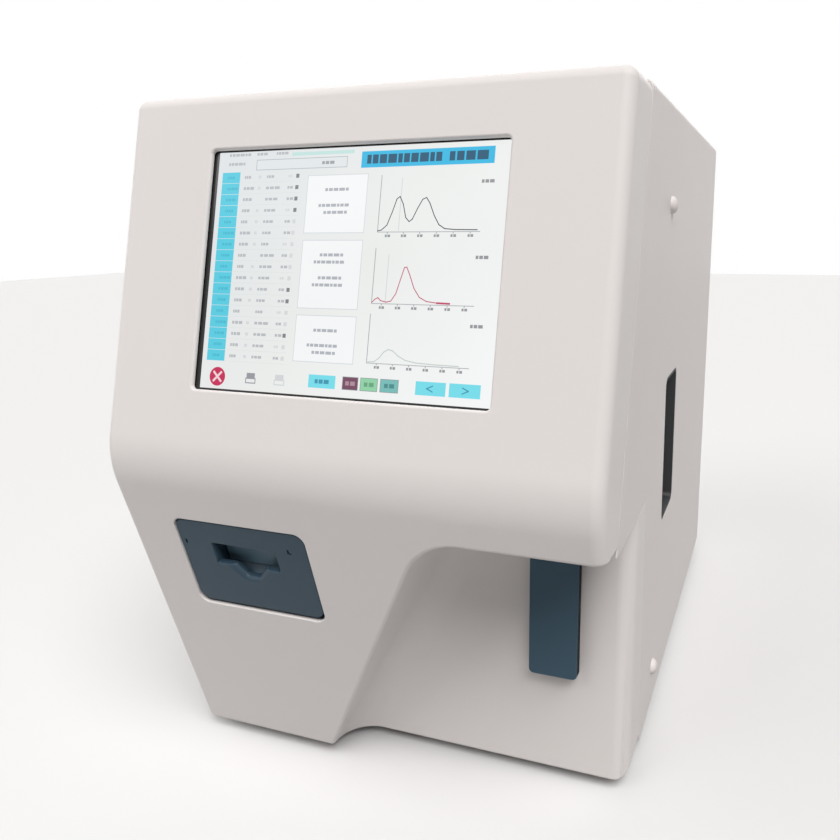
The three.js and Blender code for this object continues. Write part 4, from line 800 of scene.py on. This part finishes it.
def along_x(name, outline, left, right):
    """Slate solid that runs across the printer, from an outline of rise and depth in millimetres."""
    return lofted(name, [[PRINTER @ Vector((x, p.x, -p.y)) for p in outline] for x in (left, right)], slate)


def repaint(piece, paint, test):
    """Paints the faces whose middle, in millimetres, and direction pass the test."""
    piece.data.materials.append(paint)
    for face in piece.data.polygons:
        if test(face.center / MM, face.normal):
            face.material_index = len(piece.data.materials) - 1
    return piece


DOOR_HALF, DOOR_LOW, DOOR_HIGH, DOOR_RADIUS = 53, -35.5, 36, 8
WINDOW_HALF, WINDOW_TOP, NOTCH_FOOT, NOTCH_RUN, NOTCH_DROP = 27, 19, 6, 13, 12
DOOR_FACE, DOOR_BACK, POCKET_WALL, RIM, LIP = 1.0, 6.0, 1.2, 0.6, 3.6
POCKET_HALF, EAR_NEAR, EAR_FAR, BORE = 27.6, 30.4, 33.4, 1.85
HINGE_AXIS, LATCH_AXIS, ROLLER_AXIS, ROLL_AXIS = (-32, 4.5), (17.5, 13.5), (29.6, 13), (-12, 36)


def door_ring(inset, depth):
    half = DOOR_HALF - inset
    corners = rectangle(-half, half, DOOR_LOW + inset, DOOR_HIGH - inset)
    return raised(rounded(corners, [DOOR_RADIUS - inset] * 4, [9] * 4), -depth, PRINTER)


def window_ring(lip, edge, depth):
    """Outline of the finger window, drawn in by the lip along its notch and by the edge along its other sides."""
    slope = atan2(NOTCH_DROP, NOTCH_RUN)
    foot = NOTCH_FOOT - lip * tan(slope / 2)
    hip = foot + (NOTCH_DROP - lip - edge) / tan(slope)
    right, floor, low, top = WINDOW_HALF - edge, edge, -NOTCH_DROP + lip, WINDOW_TOP - edge
    corners = [flat(-right, top), flat(-right, floor), flat(-hip, floor), flat(-foot, low), flat(foot, low),
               flat(hip, floor), flat(right, floor), flat(right, top)]
    radii = [1, 1, 6 - 0.8 * lip, 9 - lip, 9 - lip, 6 - 0.8 * lip, 1, 1]
    return raised(rounded(corners, radii, [3, 3, 8, 10, 10, 8, 3, 3]), -depth, PRINTER)


quarter = quarter_turn(7)
plate_rings = [door_ring(0, DOOR_BACK)]
plate_rings += [door_ring(RIM * (1 - cos(a)), DOOR_FACE + RIM * (1 - sin(a))) for a in quarter]
door = lofted("printer_door_finished", plate_rings, slate)
pocket_shell = [flat(22.2, 5), flat(-14.2, 5), flat(-14.2, 9.2), flat(-4, 16.8), flat(22.2, 16.8)]
additions = [along_x("pocket_shell", pocket_shell, -POCKET_HALF - POCKET_WALL, POCKET_HALF + POCKET_WALL)]
for ends in ((-EAR_FAR, -EAR_NEAR), (EAR_NEAR, EAR_FAR)):
    additions.append(slab("ear", rounded(rectangle(*ends, 13.5, 34.5), [0.6] * 4, [2] * 4), -17, -5, PRINTER, slate))
cut(door, *additions, how="UNION")
window_rings = [window_ring(LIP, 1.0, 7), window_ring(LIP, 1.0, DOOR_FACE + LIP)]
window_rings += [window_ring(LIP * cos(a), cos(a), DOOR_FACE + LIP * (1 - sin(a))) for a in quarter[1:]]
window_rings += [window_ring(0, 0, -BEYOND)]
pocket_side = [flat(21, DOOR_BACK), flat(-9.6, DOOR_BACK), flat(-9.6, 8), flat(-4, 15.6), flat(21, 15.6)]
pocket_side = rounded(pocket_side, [0, 0, 2, 6, 1.5], [0, 0, 4, 8, 3])
cuts = [lofted("window", window_rings, slate),
        along_x("pocket", pocket_side, -POCKET_HALF, POCKET_HALF),
        along_x("latch_bore", circle(*LATCH_AXIS, BORE), -40, 40),
        along_x("roller_bore", circle(*ROLLER_AXIS, BORE), -40, 40)]
for ends in ((-60, -49.25), (49.25, 60)):
    cuts.append(along_x("hinge_bore", circle(*HINGE_AXIS, 1.35), *ends))
mark_outlines = [rounded(rectangle(x - 0.8, x + 0.8, rise - 1.9, rise + 1.9), [0.6] * 4, [2] * 4)
                 for x, rise in ((-48.3, 16.8), (37.8, 20.6))]
for mark_outline in mark_outlines + [rectangle(37.4, 40.2, 18.7, 19.8)]:
    cuts.append(slab("index_mark", mark_outline, -4, BEYOND, PRINTER, slate))
cut(door, *cuts)
shaded(painted(door, slate), 32)
fitted(door, "door", "slate_plastic", "printer_door")
# The paddle is the door's slate plastic painted much lighter: painted light that stands in for the light the deep
# pocket keeps from it.
paddle_slate = finish("paddle_slate", rgb(96, 122, 138), 0.45, grain=0.0005, depth=0.6, drift=0.08, shine=0.4)
dressed("printer_latch", "slate_plastic", paddle_slate, edge=0.5)


def vectors(tree, operation, *terms):
    return added(tree, "VectorMath", enumerate(terms), operation=operation).outputs


# Drawn metal: streaks along the way the bar was drawn, which break up its gloss.
drawn, given = node_group("drawn_metal", {"Colour": "Color", "Stretch": "Vector", "Streak Scale": "Float",
                                          "Roughness": "Float"}, SURFACE)
place = on_object(drawn)
squeezed = vectors(drawn, "MULTIPLY", place, given["Stretch"])["Vector"]
streaks = texture(drawn, "Noise", squeezed, Scale=given["Streak Scale"], Detail=3.0, Roughness=0.6)["Fac"]
crystals = texture(drawn, "Voronoi", place, Scale=110.0)["Color"]
uneven = maths(drawn, "ADD", swing(drawn, crystals, 0.12), swing(drawn, streaks, 0.25))
added(drawn, "NodeGroupOutput", {
    "Colour": scaled(drawn, given["Colour"], maths(drawn, "ADD", 1.0, uneven)),
    "Roughness": maths(drawn, "ADD", given["Roughness"], uneven), "Height": streaks})


def metal(name, colour, roughness, stretch, scale=2500.0):
    """Bare or plated metal with streaks along the axis whose stretch is small."""
    values = {"Colour": colour, "Roughness": roughness, "Stretch": stretch, "Streak Scale": scale}
    return surfaced(name, drawn, values, 0.000004, {"Metallic": 1.0})


def printer_axis(rise, depth):
    return PRINTER @ Vector((0, rise, -depth))


steel_x = metal("steel_along_x", rgb(196, 199, 202), 0.3, (0.03, 1, 1))
brass = metal("pinion_brass", rgb(196, 160, 88), 0.32, (0.05, 1, 1))
for side in ("left", "right"):
    dressed("door_pin_" + side, "bright_steel", steel_x, edge=0.15)
roller = dressed("platen_roller", "foot_rubber", rubber, edge=0.15)
repaint(roller, steel_x, lambda at, way: (at - printer_axis(*ROLLER_AXIS)).yz.length < 2)
dressed("platen_gear", "grey_plastic", grey, edge=0.08)
dressed("feed_pinion", "pinion_brass", brass, edge=0.06)
dressed("feed_motor", "bright_steel", steel_x, edge=0.5)
dressed("print_head", "black_plastic", black, edge=0.25)
dressed("printer_cassette", "grey_plastic", grey)

# Wound paper: the ends of the roll show its turns as fine rings, and its outside stays smooth.
winding, given = node_group("wound_paper", {"Axis": "Vector", "Turn": "Float"}, {"Mask": "Float"})
from_axis = vectors(winding, "SUBTRACT", on_object(winding), given["Axis"])["Vector"]
sideways = vectors(winding, "MULTIPLY", from_axis, (0, 1, 1))["Vector"]
turns = maths(winding, "DIVIDE", vectors(winding, "LENGTH", sideways)["Value"], given["Turn"])
added(winding, "NodeGroupOutput", {"Mask": maths(winding, "PINGPONG", turns, 0.5)})

paper = finish("thermal_paper", rgb(246, 244, 238), 0.8, grain=0.0004, depth=0.4, drift=0.02, bump=0.00001)
paper_end = finish("paper_edges", rgb(238, 235, 227), 0.85, grain=0.0004, depth=0.4, drift=0.04, bump=0.00004)
tree = paper_end.node_tree
rings = added(tree, "Group", {"Axis": printer_axis(*ROLL_AXIS) * MM, "Turn": 0.0004}, node_tree=winding)
fed(tree, tree.nodes["Bump"], {"Height": rings.outputs["Mask"]})
core_card = finish("core_card", rgb(150, 124, 96), 0.85, depth=0.6, drift=0.12, bump=0.00004)
roll_of_paper = dressed("paper_roll", "thermal_paper", paper)
repaint(roll_of_paper, paper_end, lambda at, way: abs(way.x) > 0.7)
repaint(roll_of_paper, core_card, lambda at, way: (at - printer_axis(*ROLL_AXIS)).yz.length < 7)


# Start key. A slate key with a broken edge and near-black sides, with a stem through the wall; its switch sits behind.

key_slate = finish("key_slate", rgb(62, 86, 102), 0.45, grain=0.0005, depth=0.6, drift=0.06, bump=0.00002, shine=0.2)
key_black = finish("key_black", rgb(12, 13, 15), 0.6, depth=0.6, drift=0.1, shine=0.1)
key = dressed("start_key", "slate_plastic", key_slate, edge=0.35, segments=3)
key_out = (BAY_WALL.to_3x3() @ Vector((0, 0, 1))).normalized()
# The faces that turn away from the key's front are painted near-black.
repaint(key, key_black, lambda at, way: way.dot(key_out) < 0.35)
dressed("key_switch", "black_plastic", black)


# Needle and its lift. A drawn steel needle is held by a moulded carriage that runs on two ground rods; a four-start
# screw under a small stepper moves it. The needle passes a clear wash block above the bay.

steel_z = metal("steel_along_z", rgb(200, 203, 206), 0.24, (1, 1, 0.02))
zinc = metal("zinc_plated", rgb(176, 181, 184), 0.4, (1, 1, 1), 300.0)
for node in ("sample_needle", "guide_rod_left", "guide_rod_right"):
    dressed(node, "bright_steel", steel_z, edge=0.2)
dressed("needle_carriage", "grey_plastic", grey, edge=0.5)
dressed("lift_frame", "zinc_sheet", zinc)

acrylic = finish("clear_acrylic", rgb(236, 241, 243), 0.08, grain=0.002, depth=0.1, drift=0.02, bump=0.000002)
fed(acrylic.node_tree, acrylic.node_tree.nodes["Principled BSDF"], {"Transmission Weight": 0.85, "IOR": 1.49})
dressed("wash_block", "clear_acrylic", acrylic, edge=0.4)


FLANK, CREST = 3.2, 0.3


def threaded(node, x, y, radius, depth, sides=24, lead=8.0, starts=4):
    """Screw that fills its CAD rod: the flank of each start climbs by the lead in one turn."""
    low, high = (Vector(end).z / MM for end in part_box(node))
    pitch = lead / starts
    rows = int((high - low) / (pitch / 6))
    rings = []
    for i in range(rows + 1):
        z = low + (high - low) * i / rows
        ring = []
        for k in range(sides):
            share = ((z - lead * k / sides) / pitch) % 1.0
            groove = min(1.0, max(0.0, FLANK * abs(share - 0.5) - CREST)) if 2 < i < rows - 2 else 1.0
            reach = radius - depth * (1 - groove)
            angle = 2 * pi * k / sides
            ring.append((x + reach * cos(angle), y + reach * sin(angle), z))
        rings.append(ring)
    piece = shaded(painted(lofted(node + "_finished", rings), steel_z), 50)
    return fitted(piece, frame["nodes"][node]["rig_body"], "bright_steel", node)


def motor(node, paint, bells):
    """Stepper: black laminated stack between two plain end bells, parted at the given heights."""
    piece = dressed(node, "black_plastic", black, edge=1.2, segments=3)
    shape = bmesh.new()
    shape.from_mesh(piece.data)
    for height in bells:
        everything = shape.verts[:] + shape.edges[:] + shape.faces[:]
        bmesh.ops.bisect_plane(shape, geom=everything, plane_co=(0, 0, height * MM), plane_no=(0, 0, 1))
    shape.to_mesh(piece.data)
    shape.free()
    return repaint(piece, paint, lambda at, way: not bells[0] < at.z < bells[1])


threaded("lead_screw", 150, FRONT_Y + 32, radius=4.0, depth=0.9)
bell_grey = metal("cast_end_bell", rgb(168, 171, 174), 0.5, (1, 1, 1), 900.0)
motor("lift_motor", bell_grey, (439, 453))


# Fluid parts. Two clear counting baths, five valves on one block, and a metering syringe with its plunger, screw and
# stepper stand on the deck. The waste pump sits under it.

COIL_LOW, COIL_HIGH, CAP_LOW, PISTON_LOW, PUMP_HEAD_LOW = 254.5, 286.0, 286.3, 381.0, 64.5
for node in ("white_cell_bath", "red_cell_bath", "syringe_barrel"):
    dressed(node, "clear_acrylic", acrylic, edge=0.25, segments=3)
valve_block = dressed("valve_block", "grey_plastic", grey)
repaint(valve_block, black, lambda at, way: COIL_LOW < at.z < COIL_HIGH)
repaint(valve_block, steel_z, lambda at, way: at.z > CAP_LOW)
dressed("syringe_frame", "zinc_sheet", zinc)
plunger = dressed("syringe_plunger", "grey_plastic", grey)
repaint(plunger, black, lambda at, way: at.z > PISTON_LOW)
threaded("syringe_screw", 62, FRONT_Y + 212, radius=3.0, depth=0.7, sides=20)
motor("syringe_motor", bell_grey, (240, 252))
pump = dressed("waste_pump", "black_plastic", black, edge=0.8)
repaint(pump, grey, lambda at, way: at.z > PUMP_HEAD_LOW)


# Electronics. The main board stands on brass posts on the centre wall; its tracks show under the green mask. The
# power supply is a plated can with a pressed lid.

POSTS_FROM, PARTS_TO, TRACK_WIDTH = -20.2, -22.1, 0.06
board_green = finish("solder_green", rgb(28, 84, 56), 0.4, grain=0.0008, drift=0.12, bump=0.00002)
tree = board_green.node_tree
tracks = added(tree, "TexVoronoi", {"Vector": on_object(tree), "Scale": 120.0}, distance="CHEBYCHEV",
               feature="DISTANCE_TO_EDGE")
on_track = maths(tree, "LESS_THAN", tracks.outputs["Distance"], TRACK_WIDTH)
masked = next(node for node in tree.nodes if node.type == "GROUP").outputs["Colour"]
toned = added(tree, "Mix", {0: on_track, 6: masked, 7: rgb(74, 132, 84)}, data_type="RGBA")
fed(tree, tree.nodes["Principled BSDF"], {"Base Color": toned.outputs[2]})
main_board = dressed("main_board", "circuit_board", board_green, edge=0.15)
repaint(main_board, brass, lambda at, way: at.x > POSTS_FROM)
repaint(main_board, black, lambda at, way: at.x < PARTS_TO)
dressed("power_supply", "zinc_sheet", zinc, edge=0.5)


# Chassis. Folded sheet, zinc plated: floor tray, centre wall, fluid deck and the holder that carries the display's
# module. Four rubber feet are pressed into the tray.

for node in ("base_tray", "center_wall", "fluid_deck", "display_bracket"):
    dressed(node, "zinc_sheet", zinc)
dressed("lcd_module", "grey_plastic", grey, edge=0.4)
for k in range(1, 5):
    dressed("foot_%d" % k, "foot_rubber", rubber, edge=0.5, segments=3)


# Back of the unit. Fan behind its slots, mains inlet with a rocker, data sockets, and colour-coded hose ports. Small
# pan heads hold the rear panel, the fan and the floor tray.

INLET_X, BLADE_Z, BLADE_PITCH = -128, 72, 7
SOCKET_LEFT, SOCKET_PITCH, TONGUE_WIDTH, TONGUE_THICK, TONGUE_ENDS = -16, 19.2, 11.2, 2, (9, 1.5)
PORT_X, PORT_Z, PORT_PITCH = 106, 84, 16
FAN_X, FAN_Z, FAN_PITCH = -95, 385, 36
dressed("fan_frame", "black_plastic", black, edge=0.4)
dressed("fan_rotor", "black_plastic", black, edge=0.2)
mains_inlet = dressed("mains_inlet", "black_plastic", black, edge=0.4)


def on_blade(middle, way):
    beside = min(abs(middle.x - INLET_X - shift) for shift in (-BLADE_PITCH, 0, BLADE_PITCH))
    return beside < 1.4 and abs(middle.z - BLADE_Z) < 5 and middle.y > REAR_Y - 14 and way.y > -0.5


repaint(mains_inlet, brass, on_blade)
rocker = dressed("power_rocker", "black_plastic", black, edge=0.4)
print_white = finish("print_white", rgb(226, 228, 228), 0.6, grain=0.0004, depth=0.4, drift=0.03)
caps = sorted((face for face in rocker.data.polygons if face.normal.y > 0.9), key=lambda face: face.area)[-2:]
low_cap, high_cap = sorted(caps, key=lambda face: face.center.z)
on_low, on_high = (Matrix.Translation(cap.center / MM) @ cap.normal.to_track_quat("Z", "Y").to_matrix().to_4x4()
                   for cap in (low_cap, high_cap))
off_ring = turned("off_ring", [(1.5, -0.1), (2.1, -0.1), (2.1, 0.06), (1.5, 0.06), (1.5, -0.1)], print_white)
off_ring.data.transform(Matrix.Scale(MM, 4) @ on_low @ Matrix.Scale(1 / MM, 4))
on_bar = slab("on_bar", rectangle(-0.35, 0.35, -2.1, 2.1), -0.1, 0.06, on_high, print_white)
fitted(gathered("rocker_marks", [off_ring, on_bar]), "rocker", "black_plastic")

dressed("data_sockets", "bright_steel", bell_grey, edge=0.2)
dressed("port_plate", "grey_plastic", grey)
tongues = []
for k in range(5):
    left, high = SOCKET_PITCH * k + SOCKET_LEFT, 82.6 if k % 2 else 87.4
    corners = rectangle(left, left + TONGUE_WIDTH, high - TONGUE_THICK, high)
    rings = [[(p.x, REAR_Y - depth, p.y) for p in corners] for depth in TONGUE_ENDS]
    tongues.append(lofted("tongue", rings, black))
fitted(gathered("socket_tongues", tongues), "housing", "black_plastic")

port_rings = []
for k, (name, card) in enumerate((("port_red", (176, 44, 44)), ("port_blue", (40, 84, 160)),
                                  ("port_green", (48, 130, 78)), ("port_yellow", (206, 168, 44)))):
    ring = turned(name, [(3.6, 0.05), (6.2, 0.05), (6.4, 0.5), (6.2, 1.0), (3.6, 1.0), (3.6, 0.05)],
                  finish(name, rgb(*card), 0.45))
    foot = Matrix.Translation(Vector((PORT_X + PORT_PITCH * k, REAR_Y + 3.4, PORT_Z)) * MM)
    ring.data.transform(foot @ Matrix.Rotation(-pi / 2, 4, "X"))
    port_rings.append(ring)
fitted(gathered("port_rings", port_rings), "housing", "grey_plastic")

places = [((x, REAR_Y, z), (0, 1, 0)) for x in (-166, 166) for z in (34, 150, 266, 382, 480)]
places += [((x, REAR_Y, 480), (0, 1, 0)) for x in (-60, 60)]
fan_corners = (-FAN_PITCH, FAN_PITCH)
places += [((FAN_X + x, REAR_Y, FAN_Z + z), (0, 1, 0)) for x in fan_corners for z in fan_corners]
places += [((x, y, FLOOR_Z), (0, 0, -1)) for x in (-110, 0, 110) for y in (-60, 200)]
pan = dome_head("pan_head", radius=3.1, height=1.8, shank=1.4, recess=1.1)
screw_steel = metal("screw_steel", rgb(190, 192, 194), 0.3, (1, 1, 1), 1500.0)
fitted(fixings("rear_screws", pan, screw_steel, places, 11), "housing", "bright_steel")
